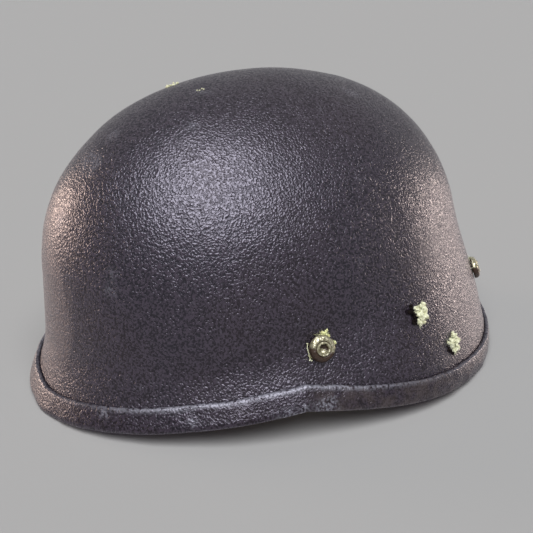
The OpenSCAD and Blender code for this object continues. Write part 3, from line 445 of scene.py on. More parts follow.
def pebbled_paint(name, relief, sheen, scuffs, scuffed, chips=(), dusty=False):
    """Near-black paint with a fine pebbled grain, dusty, scuffed and chipped through to the fibre; the
    grain's tops are painted lighter and its pits dark and unreflecting, as painted shade
    """
    look = Look(name, INK, 0.4, Specular_IOR_Level=sheen, Specular_Tint=PAINT_SHEEN)
    pebble = look.noise(PEBBLE, 0.6, distortion=0.6)
    tops = look.step(pebble, 0.40, 0.62)
    colour = look.blend(look.step(look.noise(55, 3), 0.35, 0.7), INK, INK_WARM)
    # Painted shade in the grain: the tops lighter, the pits left in dark ink
    colour = look.blend(tops, colour, LIT_TOPS_INK)
    if dusty:
        dust = look.times(look.attribute("dust"), look.step(look.noise(6, 3), 0.25, 0.7))
        colour = look.blend(dust, colour, DUST)
    # On the trim this layer lightens the lip: partly worn paint, partly a painted highlight along it
    worn = look.times(look.attribute("wear_and_highlight"), look.step(look.noise(1.6, 4), 0.36, 0.52))
    patch = look.times(look.near(scuffs, 3.0, look.bent(5, 6)), look.step(look.noise(1.3, 4), 0.42, 0.6))
    rubbed = look.times(look.step(look.noise(7, 5, distortion=0.4), 0.62, 0.74), tops)
    worn = look.most(worn, look.times(patch, scuffed), look.times(rubbed, RUBBED))
    colour = look.blend(worn, colour, SCUFF)
    if chips:
        bare = look.near(chips, 0.35, look.bent(1.1, 1.8))
        colour = look.blend(bare, colour, look.blend(look.noise(0.5, 3), ARAMID, ARAMID_DARK))
        pebble = look.math("SUBTRACT", pebble, look.times(bare, CHIP_DEPTH))
    rough = look.step(pebble, 0.40, 0.58, 0.34, 0.19)
    # Painted shade: the pits turn partly metallic over the dark ink, so they reflect less
    shaded_pits = look.step(pebble, 0.38, 0.56, 0.36, 0.0)
    look.bumps((look.noise(5, 2), 0.12), (pebble, relief), (look.noise(0.4, 2), 0.02))
    return look.set(Base_Color=colour, Roughness=rough, Metallic=shaded_pits)


def brass_paint():
    """Olive brown paint, knobbly where it ran, worn to brass on the high spots, and darkened and dulled by
    painted shade under its head, on its lower side, in its groove and in its socket
    """
    look = Look("brass_olive", (0.30, 0.27, 0.17), 0.42)
    blotch = look.noise(1.1, 4)
    worn = look.step(look.noise(0.8, 5, distortion=0.5), 0.50, 0.60)
    colour = look.blend(blotch, (0.10, 0.085, 0.045), (0.36, 0.34, 0.22))
    colour = look.blend(worn, colour, (0.70, 0.67, 0.52))
    # Painted shade: the bolt's painted_shade layer darkens the paint to deep brown and dulls its metal
    shade_mask = look.step(look.attribute("painted_shade"), 0.2, 0.9)
    colour = look.blend(shade_mask, colour, (0.040, 0.022, 0.014))
    metal = look.times(look.step(worn, 0.2, 0.8, 0.35, 0.95), look.step(shade_mask, 0.2, 1.0, 1.0, 0.3))
    look.bumps((look.cells(1.0, look.bent(0.8, 0.5)), 0.12), (look.noise(0.35, 3), 0.05))
    return look.set(Base_Color=colour, Metallic=metal, Roughness=look.step(blotch, 0.3, 0.7, 0.22, 0.42))


def mottled(name, dark, pale, roughness, tone, grain, **sockets):
    """Two colours mixed by noise (size, detail, and where it turns if sharply), and a grain"""
    look = Look(name, pale, roughness, **sockets)
    size, detail, *turns = tone
    mixed = look.noise(size, detail)
    if turns:
        mixed = look.step(mixed, *turns)
    size, detail, height = grain
    look.bumps((look.noise(size, detail), height))
    return look.set(Base_Color=look.blend(mixed, dark, pale))


RIB, YARN, HERRINGBONE = 1.05, 0.95, 4.2


def woven(name, pale, dark):
    """Webbing: ribs along the strap, crossed by a herringbone of yarns"""
    look = Look(name, pale, 0.78, Sheen_Weight=0.3, Sheen_Roughness=0.55)
    parts = look.node("ShaderNodeSeparateXYZ", {0: look.flat})
    along, across = parts.outputs[0], parts.outputs[1]
    rib = look.math("SINE", look.times(across, 2 * math.pi / (RIB * MM)))
    lean = look.math("PINGPONG", across, HERRINGBONE * MM)
    yarn = look.math("SINE", look.times(look.math("ADD", along, lean), 2 * math.pi / (YARN * MM)))
    weave = look.times(look.math("ADD", rib, yarn), 0.25)
    colour = look.blend(look.step(weave, -0.35, 0.4), dark, pale)
    colour = look.blend(look.step(look.noise(12, 4), 0.45, 0.75, 0, 0.35), colour, dark)
    look.bumps((look.noise(9, 2), 0.25), (weave, 0.22), (look.noise(0.2, 2), 0.04))
    return look.set(Base_Color=colour, Roughness=look.step(look.noise(5, 3), 0.3, 0.7, 0.68, 0.88))


def leather():
    look = Look("leather_brown", (0.17, 0.10, 0.06), 0.5, Specular_IOR_Level=0.45)
    grain = look.cells(1.5, look.bent(1.0, 0.5), "DISTANCE_TO_EDGE")
    crease = look.noise(7, 4, distortion=1.2)
    colour = look.blend(look.step(look.noise(16, 4), 0.3, 0.7), (0.135, 0.078, 0.048), (0.25, 0.155, 0.098))
    colour = look.blend(look.step(grain, 0.0, 0.12, 0.5, 0.0), colour, (0.035, 0.020, 0.014))
    look.bumps((crease, 0.5), (look.step(grain, 0.0, 0.2), 0.10), (look.noise(0.4, 2), 0.03))
    return look.set(Base_Color=colour, Roughness=look.step(crease, 0.3, 0.7, 0.42, 0.62))


def moulded(name, colour, light, roughness):
    look = Look(name, colour, roughness)
    tone = look.blend(look.step(look.noise(14, 4), 0.4, 0.7), colour, light)
    scratch = look.step(look.streaks(0.9, 4, (0.25, 1, 1.4)), 0.66, 0.74, 0, 0.5)
    tone = look.blend(scratch, tone, tuple(3 * c for c in light))
    look.bumps((look.cells(0.55), 0.03), (look.noise(6, 2), 0.12))
    rough = look.step(look.noise(4, 3), 0.3, 0.7, roughness - 0.08, roughness + 0.1)
    return look.set(Base_Color=tone, Roughness=rough)


def zinc():
    look = Look("zinc_steel", (0.52, 0.53, 0.53), 0.36, 0.95)
    spangle = look.cells(2.2, look.bent(1.5, 1.0), "F1")
    brushed = look.streaks(0.35, 3, (1, 1, 0.08))
    colour = look.blend(look.step(spangle, 0.1, 0.7), (0.60, 0.61, 0.60), (0.40, 0.41, 0.42))
    stain = look.step(look.noise(5, 5), 0.58, 0.72, 0, 0.6)
    colour = look.blend(stain, colour, (0.20, 0.17, 0.13))
    look.bumps((brushed, 0.03), (look.noise(2.5, 3), 0.06))
    rough = look.math("ADD", look.step(brushed, 0.3, 0.7, 0.28, 0.44), look.times(stain, 0.25))
    return look.set(Base_Color=colour, Roughness=rough)


# Places of the marks that show, as (bearing, height, reach). Those of the trim lie further out.
CHIPS = ((-108.5, 153.3, 2.2), (-110.0, 152.6, 1.6), (-107.5, 154.3, 1.8))
SCUFFS = ((-70.2, 153.0, 2.6), (-66.5, 152.8, 1.8), (-86.7, 135.3, 3.5), (-85.2, 123.0, 6.0),
          (-89.3, 125.1, 5.0), (-69.6, 71.6, 2.8), (-69.1, 78.6, 2.0), (40.7, 147.7, 4.5), (-88.0, 97.7, 4.0),
          (-60.0, 140.0, 3.0))
TRIM_SCUFFS = ((-31.6, 15.7, 1.1), (-30.5, 16.1, 1.4), (-29.1, 16.3, 1.5), (-27.6, 16.5, 1.4),
               (-26.2, 16.5, 1.4), (-25.5, 17.9, 1.5), (-22.2, 16.9, 2.4), (-20.7, 16.8, 2.8),
               (-19.2, 16.7, 2.4), (-69.8, 12.7, 1.6), (-50.0, 14.0, 1.2))
TRIM_OUT = 2.4


def spots(marks, out=0):
    return [(*place(phi, z, -out), reach) for phi, z, reach in marks]


paint = pebbled_paint("shell_paint", 0.44, 1.0, spots(SCUFFS), 0.33, chips=spots(CHIPS))
trim_paint = pebbled_paint("trim_paint", 0.36, 0.65, spots(TRIM_SCUFFS, TRIM_OUT), 0.9, dusty=True)
brass = brass_paint()
FLUFF = {"tone": (1.6, 3, 0.38, 0.66), "grain": (0.25, 2, 0.05), "Sheen_Weight": 0.25, "Sheen_Roughness": 0.5}
aramid = mottled("aramid_fibre", (0.50, 0.50, 0.31), (0.82, 0.84, 0.62), 0.62, **FLUFF)
aramid_bright = mottled("aramid_tuft", (0.58, 0.57, 0.25), (0.84, 0.87, 0.50), 0.62, **FLUFF)
# Painted shadow: near-black fibre for the lumps that stand for the shadows beside the side holes' tufts
shadow_look = mottled("painted_shadow_fibre", (0.003, 0.002, 0.002), (0.014, 0.009, 0.008), 0.92, (0.7, 3),
                  (0.4, 3, 0.08), Specular_IOR_Level=0.12)
webbing = woven("olive_webbing", (0.23, 0.235, 0.165), (0.095, 0.098, 0.066))
hide = leather()
black_plastic = moulded("black_plastic", (0.030, 0.030, 0.032), (0.048, 0.048, 0.050), 0.42)
steel = zinc()
rubber = mottled("spacer_gum", (0.024, 0.024, 0.026), (0.06, 0.057, 0.053), 0.75, (3, 4, 0.4, 0.65),
                 (0.6, 4, 0.08))
yarn = mottled("sewing_thread", (0.045, 0.05, 0.04), (0.12, 0.125, 0.10), 0.7, (0.35, 2), (0.35, 2, 0.08),
               Sheen_Weight=0.3)


# Shell: both surfaces of the bowl, drilled
CHEEK_TOP = 60.0
# Rows of points below and above the cheek's top, and rings of the drill
OUTER_ROWS, INNER_ROWS = (34, 64), (18, 34)
DRILL = (-24, -12, 12)
PAINT_WAVES = (0.04, 10, 3), (0.20, 38, 4)


def shell_rows(phi, rows, top):
    """Heights up the bowl at a bearing, the last one short of the crown"""
    low_rows, high_rows = rows
    low = mix(rim(phi)[:, None], CHEEK_TOP, np.arange(low_rows) / low_rows)
    high = CHEEK_TOP + (top - CHEEK_TOP) * sind(90 * np.arange(high_rows) / high_rows)
    return np.concatenate([low, high + 0 * phi[:, None]], 1)


def paint_waves(points, phi, z):
    """Unevenness of the hand-laid wall under its paint, none beneath the trim"""
    fade = smooth((z - rim(phi) - TRIM_COVER - 1) / 8)
    return fade * ripples(points, *PAINT_WAVES)


def build_shell():
    phi = np.arange(0, 360, 1.0)
    columns = phi[:, None]
    outer_z = shell_rows(phi, OUTER_ROWS, TOP)
    inner_z = shell_rows(phi, INNER_ROWS, TOP - WALL)[:, ::-1]
    outer = place(columns, outer_z)
    waves = paint_waves(outer, columns, outer_z)[..., None]
    outer = outer + outward(columns, np.minimum(outer_z, TOP - 1)) * waves
    grid = np.concatenate([outer, place(columns, inner_z, WALL)], 1)
    n, m = grid.shape[:2]
    last = outer_z.shape[1] - 1
    faces = []
    for i in range(n):
        k = (i + 1) % n
        for j in range(m):
            if j == last:
                faces += [[i * m + j, n * m, k * m + j], [i * m + j + 1, k * m + j + 1, n * m + 1]]
            else:
                faces.append([i * m + j, i * m + (j + 1) % m, k * m + (j + 1) % m, k * m + j])
    shape = Shape().add(np.concatenate([grid.reshape(-1, 3), [[0, 0, TOP], [0, 0, TOP - WALL]]]), faces)
    shell = add_object("shell_painted", shape.mesh("shell_painted"))
    cutters = Shape()
    drilled = [axis_at(*TEMPLE), axis_at(*REAR_BOLT)]
    drilled += [(place(*hole), hole_axis) for hole in (UPPER_HOLE, LOWER_HOLE)]
    for o, n in drilled:
        pin = revolve([(HOLE_R, s) for s in DRILL], o, n, 40)
        cutters.join(pin).join(pin.mirrored())
    cutter = add_object("cutter", cutters.mesh("cutter"))
    modify(shell, "BOOLEAN", object=cutter, operation="DIFFERENCE", solver="EXACT")
    applied(shell)
    bpy.data.objects.remove(cutter)
    shell.data.shade_smooth()
    dress(shell, "helmet", paint, ["shell"])


hole_line = unit(place(*LOWER_HOLE) - place(*UPPER_HOLE))
hole_lean = outward(*UPPER_HOLE) + outward(*LOWER_HOLE)
hole_axis = unit(hole_lean - hole_line * (hole_lean @ hole_line))
build_shell()


# Edge trim: a soft channel with rounded lips, its painted top edge lightened, partly as worn paint and partly
# as a painted highlight
FACE_ROWS, OUTER_TRIM_ROWS, TRIM_BULGE = 12, 20, 0.25
TRIM_WAVES = (0.10, 6, 21), (0.12, 22, 22)
# Bearings over which the trim's lightened lip, worn paint and painted highlight both, and its dust set in and
# end
WEAR_AND_HIGHLIGHT_IN, WEAR_AND_HIGHLIGHT_OUT = (-80, -50), (-26, 8)
DUSTY_IN, DUSTY_OUT = (-27, -19), (4, 34)


def trim_profile(phi):
    """Rows of (radius, height, wear and painted highlight) round the channel's section, for every bearing"""
    e = rim(phi)
    waver = 0.10 * ripple(place(phi, e), 16, 8)
    low, high, inner_high = e - TRIM_UNDER, e + TRIM_COVER + waver, e + TRIM_INNER_COVER
    t, c = TRIM_GAP + TRIM_THICKNESS, TRIM_ROUND
    rows = []

    def row(z, off, worn=0, inset=0):
        rows.append((radius(phi, np.maximum(z, e), inset) + off, z, worn))

    for a in (-90, -60, -30, 0):
        row(low + c + c * sind(a), t - c + c * cosd(a))
    for v in np.arange(1, FACE_ROWS) / FACE_ROWS:
        row(mix(low + c, high - c, v), t + TRIM_BULGE * (1 - (2 * v - 1) ** 2), 0.25 * (v > 0.9))
    # The top lip, lightened most: worn paint and a painted highlight along it
    for a, worn in ((0, 0.6), (22, 0.9), (45, 1), (68, 1), (90, 0.8)):
        row(high - c + c * sind(a), t - c + c * cosd(a), worn)
    for v in (0, 0.35, 0.7, 1):
        row(mix(high, e - TRIM_GAP, v), TRIM_GAP, 0.3 * (v == 0))
    row(e - TRIM_GAP, -TRIM_GAP, 0, WALL)
    row(inner_high, -TRIM_GAP, 0, WALL)
    for a in (90, 45, 0):
        rows.append((radius(phi, inner_high, WALL) + c - t - c * cosd(a), inner_high - c + c * sind(a), 0))
    for a in (0, -45, -90):
        row(low + c + c * sind(a), c - t - c * cosd(a), 0, WALL)
    return rows


def build_trim():
    phi = np.arange(0, 360, 0.5)
    rows = trim_profile(phi)
    grid = np.stack([polar(r, phi, np.maximum(0, z)) for r, z, _ in rows], 1)
    outer_rows = np.arange(len(rows)) < OUTER_TRIM_ROWS
    grid = grid + polar(1, phi, 0 * phi)[:, None] * (ripples(grid, *TRIM_WAVES) * outer_rows)[..., None]
    shape = Shape().grid(grid, wrap_n=True, wrap_m=True)
    trim = shape.build("trim_channel", "helmet", "edge_rubber", trim_paint, ["edge_trim"])
    f = folded(phi)
    # The lip's light line, worn paint and painted highlight, sets in and fades with the bearing
    rubbed = ramp(f, *WEAR_AND_HIGHLIGHT_IN) * (1 - 0.85 * ramp(f, *WEAR_AND_HIGHLIGHT_OUT))
    add_layer(trim, "wear_and_highlight", np.stack([worn * mix(0.2, 1.0, rubbed) for _, _, worn in rows], 1))
    dusty = ramp(f, *DUSTY_IN) * (1 - ramp(f, *DUSTY_OUT))
    add_layer(trim, "dust", 0.75 * dusty[:, None] * outer_rows[None])


build_trim()


# Bolts
EASED, GROOVE, BRIM = 0.2, 0.5, 0.25
BOLT_TURNS = 96
BOLT_ANGLES = np.arange(BOLT_TURNS) * 360 / BOLT_TURNS


def bolt_rows(axis, flange_s):
    """Rows of (radius, height) from the bolt's end, over its head and collar, into its socket"""
    o, n = axis
    lift = SEAT_GAP - min(depths_round(o, n, HEAD_R, 0))
    end, top = SEAT_GAP - flange_s, lift + HEAD_H + COLLAR_H
    outer, collar = PAINTED_HEAD_R, PAINTED_COLLAR_R
    inner = collar + GROOVE
    dome = [(mix(inner, outer, cosd(a)), mix(HEAD_H * 0.25, HEAD_H + 0.1, sind(a)) + lift)
            for a in range(0, 91, 9)]
    socket = WORN_SOCKET / cosd(BOLT_ANGLES % 60 - 30)
    return [(0.01, end), (BOLT_R, end), (BOLT_R, lift - EASED), (BOLT_R, lift), (outer - 0.3, lift),
            (outer, lift + BRIM), *dome, (inner - EASED, lift + HEAD_H - GROOVE),
            (collar, lift + HEAD_H - GROOVE), (collar - 0.05, top - EASED), (collar - 0.3, top),
            (socket + EASED, top), (socket, top - EASED), (socket, top - SOCKET_DEPTH),
            (0.4, top - SOCKET_DEPTH - 0.4)]


def build_bolts(node, axis, flange_s, seed):
    rows = bolt_rows(axis, flange_s)
    # Painted shade on the bolt: darker under the head's rim, over the dome's lower side, in the groove and in
    # the socket, whose lower side is left clean and metallic as a painted glint
    below = smooth((0.25 - sind(BOLT_ANGLES + 20)) / 0.7)
    painted_shade = np.zeros((len(rows), BOLT_TURNS))
    under, dome, groove, socket = slice(4, 7), slice(7, 17), slice(17, 19), slice(-2, None)
    painted_shade[under], painted_shade[groove] = 0.9, 0.85
    painted_shade[dome] = 1.05 * below * np.linspace(1.2, 0.9, 10)[:, None]
    painted_shade[socket] = np.where(below > 0.6, 0.0, 1.0)
    shape = revolve(rows, *axis, BOLT_TURNS, seed, 0.07, 0.9)
    both = Shape().join(shape).join(shape.mirrored())
    piece = both.build(node + "_worn", "helmet", "bolt_olive", brass, [node])
    add_layer(piece, "painted_shade", np.tile(painted_shade.reshape(-1), 2))


BAND_OUT = WALL + SPACER_T
BAND_IN = BAND_OUT + BAND_T
temple, rear_bolt = axis_at(*TEMPLE), axis_at(*REAR_BOLT)
temple_flange = max(depths_round(*temple, FLANGE_R, BAND_IN)) + 2 * SEAT_GAP + WASHER_T + BRACKET_T
rear_flange = max(depths_round(*rear_bolt, FLANGE_R, BAND_IN)) + SEAT_GAP
build_bolts("temple_bolts", temple, temple_flange, 41)
build_bolts("rear_bolts", rear_bolt, rear_flange, 43)


# Frayed fibre
def strands(o, n, starts, reach, thickness, seed, lean, curl, steps=7):
    """Short curly fibres that stand out of a surface at (x, y) places on it"""
    r = np.random.default_rng(seed)
    t, b = axes_on(n)
    shape = Shape()
    for x, y in starts:
        root = o + t * x + b * y - n * r.uniform(0.2, 0.9)
        way = unit(n + (t * r.normal() + b * r.normal()) * lean)
        side = unit(np.cross(way, r.normal(size=3)))
        other = np.cross(way, side)
        length = reach * r.uniform(0.45, 1.0)
        turn, phase = r.uniform(0.6, 1.8), r.uniform(0, 2 * math.pi)
        s = np.linspace(0, 1, steps)[:, None]
        sway = (np.sin(turn * 5 * s + phase) - math.sin(phase)) * s
        path = root + length * (way * s + curl * (side * sway + other * np.sin(turn * 3 * s) * s))
        width = thickness * (1 - 0.6 * s) * r.uniform(0.7, 1.3)
        shape.tube(path, side * width, other * width, 3)
    return shape


LUMP_SWELL, LUMP_SUNK = 0.8, 0.4


def lumps(o, n, places, seed):
    """Ragged lumps (x, y, height, reach) on a surface: crushed fibre, and also the dark lumps of painted
    shadow beside the side holes
    """
    t, b = axes_on(n)
    ball = bmesh.new()
    bmesh.ops.create_icosphere(ball, subdivisions=3, radius=1)
    round_points = np.array([v.co for v in ball.verts])
    faces = [[v.index for v in f.verts] for f in ball.faces]
    ball.free()
    shape = Shape()
    for k, (x, y, height, reach) in enumerate(places):
        r = np.random.default_rng(seed + k)
        stretch = np.eye(3) + np.outer(*[unit(r.normal(size=3))] * 2) * r.uniform(0.1, 0.7)
        rough = 1 + ripples(round_points, (0.24, 0.8, seed + k), (0.15, 0.34, seed + 50 + k))
        points = (round_points * rough[:, None] * reach * LUMP_SWELL) @ stretch
        shape.add(o + t * x + b * y + n * (height - LUMP_SUNK) + points, faces)
    return shape


# What shows at the left side's holes, as lumps (x, y, height, reach): fibre, and beside it dark lumps that
# stand for the fibre's shadow (painted shadow)
UPPER_LUMPS = (
    (1.4, 4.2, 1.0, 1.2), (-2.0, 3.9, 1.0, 1.3), (-4.4, 3.2, 0.8, 1.4), (-1.0, 2.3, 1.6, 1.6),
    (-5.3, 1.2, 0.9, 1.4), (-1.7, -0.2, 1.8, 1.7), (-4.0, 1.1, 1.5, 1.7), (-0.8, -2.2, 1.5, 1.2),
    (-4.7, -1.5, 1.4, 1.6), (-6.0, -3.0, 0.9, 1.2), (-3.8, -3.4, 1.1, 1.2), (-5.9, -4.2, 0.6, 0.8),
    (0.6, 0.9, -0.2, 2.0), (0.5, -1.6, -0.2, 1.7))
LOWER_LUMPS = (
    (0.7, 5.2, 0.7, 1.0), (-0.2, 3.9, 1.0, 1.3), (0.5, 2.4, 1.4, 1.5), (3.2, 0.8, 1.2, 1.1),
    (-2.5, 2.3, 1.4, 1.5), (-5.6, 1.9, 0.7, 1.2), (-0.2, 0.3, 1.8, 1.6), (-3.4, 0.2, 1.4, 1.6),
    (0.1, -2.3, 1.4, 1.4), (-2.1, -3.2, 1.0, 1.2), (-1.7, -4.4, 0.7, 0.8), (1.2, -0.6, -0.2, 2.0),
    (-0.9, -1.6, -0.2, 1.7))
UPPER_SHADOW_LUMPS = (
    (-7.3, 6.3, 0.0, 0.9), (-8.4, 5.2, 0.0, 1.0), (-9.6, 4.0, -0.1, 1.0), (-8.3, 3.2, 0.0, 1.1),
    (-7.2, 1.6, 0.0, 1.0), (-7.6, 0.2, 0.0, 0.9), (-8.4, -1.2, 0.0, 1.2), (-9.4, -2.0, -0.1, 0.8),
    (-7.2, -2.6, 0.0, 1.0))
LOWER_SHADOW_LUMPS = (
    (-7.6, 2.4, 0.0, 0.8), (-7.9, 1.2, 0.0, 1.0), (-7.0, 0.0, 0.0, 1.0), (-6.6, -1.3, 0.0, 1.2),
    (-5.2, -2.6, 0.0, 1.1), (-4.2, -3.8, 0.0, 0.9), (-3.2, -5.0, 0.0, 0.8))
# The plug of fibre in the right side's holes
PLUG_LUMPS = ((0.2, 0.9, -0.4, 2.0), (-0.8, -1.0, -0.3, 1.9), (1.2, -0.9, -0.2, 1.5), (-1.6, 1.6, 0.0, 1.0))


def hole_fray(place_of_hole, places, seed, count):
    """Crushed fibre that fills a side hole, stands proud of it and ends in loose fibres"""
    o = place(*place_of_hole)
    shape = lumps(o, hole_axis, places, seed)
    roots = [(x, y) for x, y, _, _ in places]
    r = np.random.default_rng(seed)
    starts = [np.array(roots[r.integers(len(roots))]) + r.normal(size=2) * 0.9 for _ in range(count)]
    return shape.join(strands(o + hole_axis, hole_axis, starts, reach=1.9, thickness=0.09, seed=seed + 1,
                              lean=1.5, curl=0.45))


left_fray = hole_fray(UPPER_HOLE, UPPER_LUMPS, 61, 90).join(hole_fray(LOWER_HOLE, LOWER_LUMPS, 67, 90))
left_fray.build("side_hole_fray_left", "helmet", "shell", aramid)
# Painted shadow: dark lumps beside the left holes' fibre, where its shadow falls
shadow_lumps = lumps(place(*UPPER_HOLE), hole_axis, UPPER_SHADOW_LUMPS, 140).join(
    lumps(place(*LOWER_HOLE), hole_axis, LOWER_SHADOW_LUMPS, 150))
shadow_lumps.build("side_hole_painted_shadow_left", "helmet", "shell", shadow_look)
right_fray = hole_fray(UPPER_HOLE, PLUG_LUMPS, 71, 30).join(hole_fray(LOWER_HOLE, PLUG_LUMPS, 77, 30))
right_fray.mirrored().build("side_hole_fray_right", "helmet", "shell", aramid)


def bolt_fray(axis, clumps, seed):
    """Fibres torn out from under a bolt head: clumps of (turn, count, reach)"""
    o, n = axis
    t, b = axes_on(n)
    shape = Shape()
    for i, (turn, count, reach) in enumerate(clumps):
        away = t * cosd(turn) + b * sind(turn)
        spread = np.random.default_rng(seed + i).normal(size=(count, 2)) * (0.9, 0.5)
        base = o + away * (PAINTED_HEAD_R - 0.2)
        shape.join(strands(base, unit(away * 0.8 + n * 0.7), spread, reach, thickness=0.12, seed=seed + i,
                           lean=0.55, curl=0.4))
    return shape


def loose_thread(o, n, places, thickness):
    """One thread through (x, y, height) places on a surface"""
    t, b = axes_on(n)
    places = np.array(places)
    knots_at, steps = np.arange(len(places)), np.linspace(0, len(places) - 1, 6 * len(places))
    x, y, height = (np.interp(steps, knots_at, places[:, k])[:, None] for k in range(3))
    path = o + t * x + b * y + n * height
    side = unit(np.cross(np.gradient(path, axis=0), n))
    return Shape().tube(path, side * thickness, n * thickness)


TEMPLE_LUMPS = (
    (-0.6, 5.7, 0.6, 1.1), (0.9, 6.0, 0.7, 1.3), (2.7, 5.8, 0.7, 1.3), (4.0, 4.9, 0.5, 1.0),
    (1.5, 7.2, 0.6, 1.1), (2.9, 7.2, 0.6, 1.1), (3.7, 8.2, 0.5, 0.8), (1.6, 8.3, 0.4, 0.6),
    (6.9, 1.6, 0.6, 1.0), (6.4, 0.4, 0.5, 0.7), (6.2, -1.3, 0.4, 0.6))
# A loose thread down the front of the left temple bolt, as (x, y, height), and the tufts on it
THREAD = ((-6.6, 3.4, 0.9), (-6.9, 2.2, 0.7), (-6.9, 0.8, 0.6), (-6.6, -0.8, 0.6), (-6.4, -2.4, 0.6),
          (-6.2, -3.8, 0.5), (-5.9, -4.9, 0.4))
THREAD_LUMPS = ((-6.7, 3.3, 0.6, 0.35), (-6.9, 1.0, 0.5, 0.33), (-6.1, -4.8, 0.4, 0.5),
                (-5.4, -5.1, 0.4, 0.42))
# Torn fibre at the crown, as (bearing, height): a flake on the skyline and a small mark in front of it
CROWN_FLAKE = ((-111.0, 152.7), (-109.0, 153.0), (-110.5, 153.4), (-108.0, 154.0), (-107.2, 154.5))
CROWN_MARK = ((-73.0, 153.5), (-71.6, 153.5), (-71.9, 154.1), (-70.3, 153.9))
crown_fray = Shape()
for tufts, height, reach, seed in ((CROWN_FLAKE, 0.55, 0.85, 120), (CROWN_MARK, 0.35, 0.42, 130)):
    for k, tuft in enumerate(tufts):
        crown_fray.join(lumps(*axis_at(*tuft), ((0, 0, height, reach),), seed + k))
crown_fray.build("crown_fray", "helmet", "shell", aramid)

TEMPLE_CLUMPS = (72, 50, 3.6), (95, 24, 2.6), (12, 16, 2.2), (165, 12, 1.8), (205, 6, 3.4)
temple_fray = bolt_fray(temple, TEMPLE_CLUMPS, 81).join(lumps(*temple, TEMPLE_LUMPS, 85))
temple_fray.build("temple_bolt_fray_left", "helmet", "shell", aramid_bright)
loose = loose_thread(*temple, THREAD, 0.22).join(lumps(*temple, THREAD_LUMPS, 160))
loose.build("temple_bolt_thread", "helmet", "shell", aramid)
bolt_fray(temple, ((80, 12, 2.0), (200, 8, 1.6)), 91).mirrored().build(
    "temple_bolt_fray_right", "helmet", "shell", aramid_bright)
rear_fray = bolt_fray(rear_bolt, ((100, 22, 3.0), (150, 12, 2.2), (20, 8, 1.8)), 101)
rear_fray.join(bolt_fray(rear_bolt, ((90, 10, 2.0), (190, 8, 1.6)), 111).mirrored())
rear_fray.build("rear_bolt_fray", "helmet", "shell", aramid)


# Webbing
def ribbon(path, across, width, thickness, bow=0.0):
    """Webbing along a path, with rounded selvedges; across holds its width's direction"""
    way = unit(np.gradient(path, axis=0))
    across = unit(across - way * (across * way).sum(-1, keepdims=True))
    face = np.cross(across, way)
    edge = thickness / 2
    flat = np.linspace(edge - width / 2, width / 2 - edge, 9)
    front = [(x, edge) for x in flat] + [(flat[-1] + edge * cosd(a), edge * sind(a)) for a in (60, 0, -60)]
    section = front + [(-x, -y) for x, y in front]
    rows = [path + across * x + face * (y + bow * (2 * x / width) ** 2) for x, y in section]
    return Shape().grid(np.stack(rows, 1), wrap_m=True, caps=True)


def stitches(points, normals, length=2.0, gap=0.9, thickness=0.32):
    """A sewn line along points on a surface: short threads that sink in at both ends"""
    points, normals = np.asarray(points, float), np.asarray(normals, float)
    run = np.concatenate([[0], np.cumsum(np.linalg.norm(np.diff(points, axis=0), axis=-1))])
    shape = Shape()
    for start in np.arange(0, run[-1] - length, length + gap):
        s = np.linspace(start, start + length, 6)
        line, up = (np.stack([np.interp(s, run, values[:, k]) for k in range(3)], -1)
                    for values in (points, normals))
        up = unit(up)
        side = np.cross(unit(np.gradient(line, axis=0)), up)
        lift = (np.sin(np.linspace(0, np.pi, 6)) * 0.9 - 0.35)[:, None] * thickness
        shape.tube(line + up * lift, side * thickness, up * thickness * 0.8)
    return shape


band_mid = np.mean([(o - n * depth_to(o, n, BAND_IN))[2] for o, n in (temple, rear_bolt)])
band_low, band_high = band_mid - BAND_W / 2, band_mid + BAND_W / 2


def build_band():
    phi = np.arange(0, 360, 1.5)
    edge = BAND_T / 2
    flat = np.linspace(band_low + edge, band_high - edge, 13)

    def selvedge(z, angles):
        return [(z + edge * sind(a), BAND_OUT + edge - edge * cosd(a)) for a in angles]

    section = [(z, BAND_OUT) for z in flat] + selvedge(flat[-1], (60, 90, 120))
    section += [(z, BAND_IN) for z in flat[::-1]] + selvedge(flat[0], (-120, -90, -60))
    rows = [place(phi, z, inset) for z, inset in section]
    shape = Shape().grid(np.stack(rows, 1), wrap_n=True, wrap_m=True)
    shape.build("suspension_webbing", "helmet", "webbing", webbing, ["suspension_band"])


build_band()
crown_sew_z = band_low + 8
crown_sew_inset = BAND_IN + CURVE_GAP + CROWN_T / 2
crown_bow = CROWN_W**2 / 8 / SIDE
layer_step = CROWN_T + 2 * SEAT_GAP


def crown_path(bearing, layer, steps=97):
    u = np.linspace(-1, 1, steps)
    phi = np.where(u < 0, bearing + 180.0, bearing)
    v = 1 - np.abs(u)
    inset = mix(crown_sew_inset, WALL + CROWN_GAP + layer * layer_step, smooth(1.4 * v))
    z = crown_sew_z + (TOP - inset - crown_sew_z) * sind(90 * v)
    path = place(phi, z, inset)
    along = place(phi + 2, crown_sew_z, crown_sew_inset) - place(phi - 2, crown_sew_z, crown_sew_inset)
    side = np.where(u < 0, -1, 1)[:, None]
    square = np.array([-sind(bearing), cosd(bearing), 0])
    across = unit(mix(square, unit(along) * side, smooth(1.5 * np.abs(u) - 0.5)[:, None]))
    return path, across


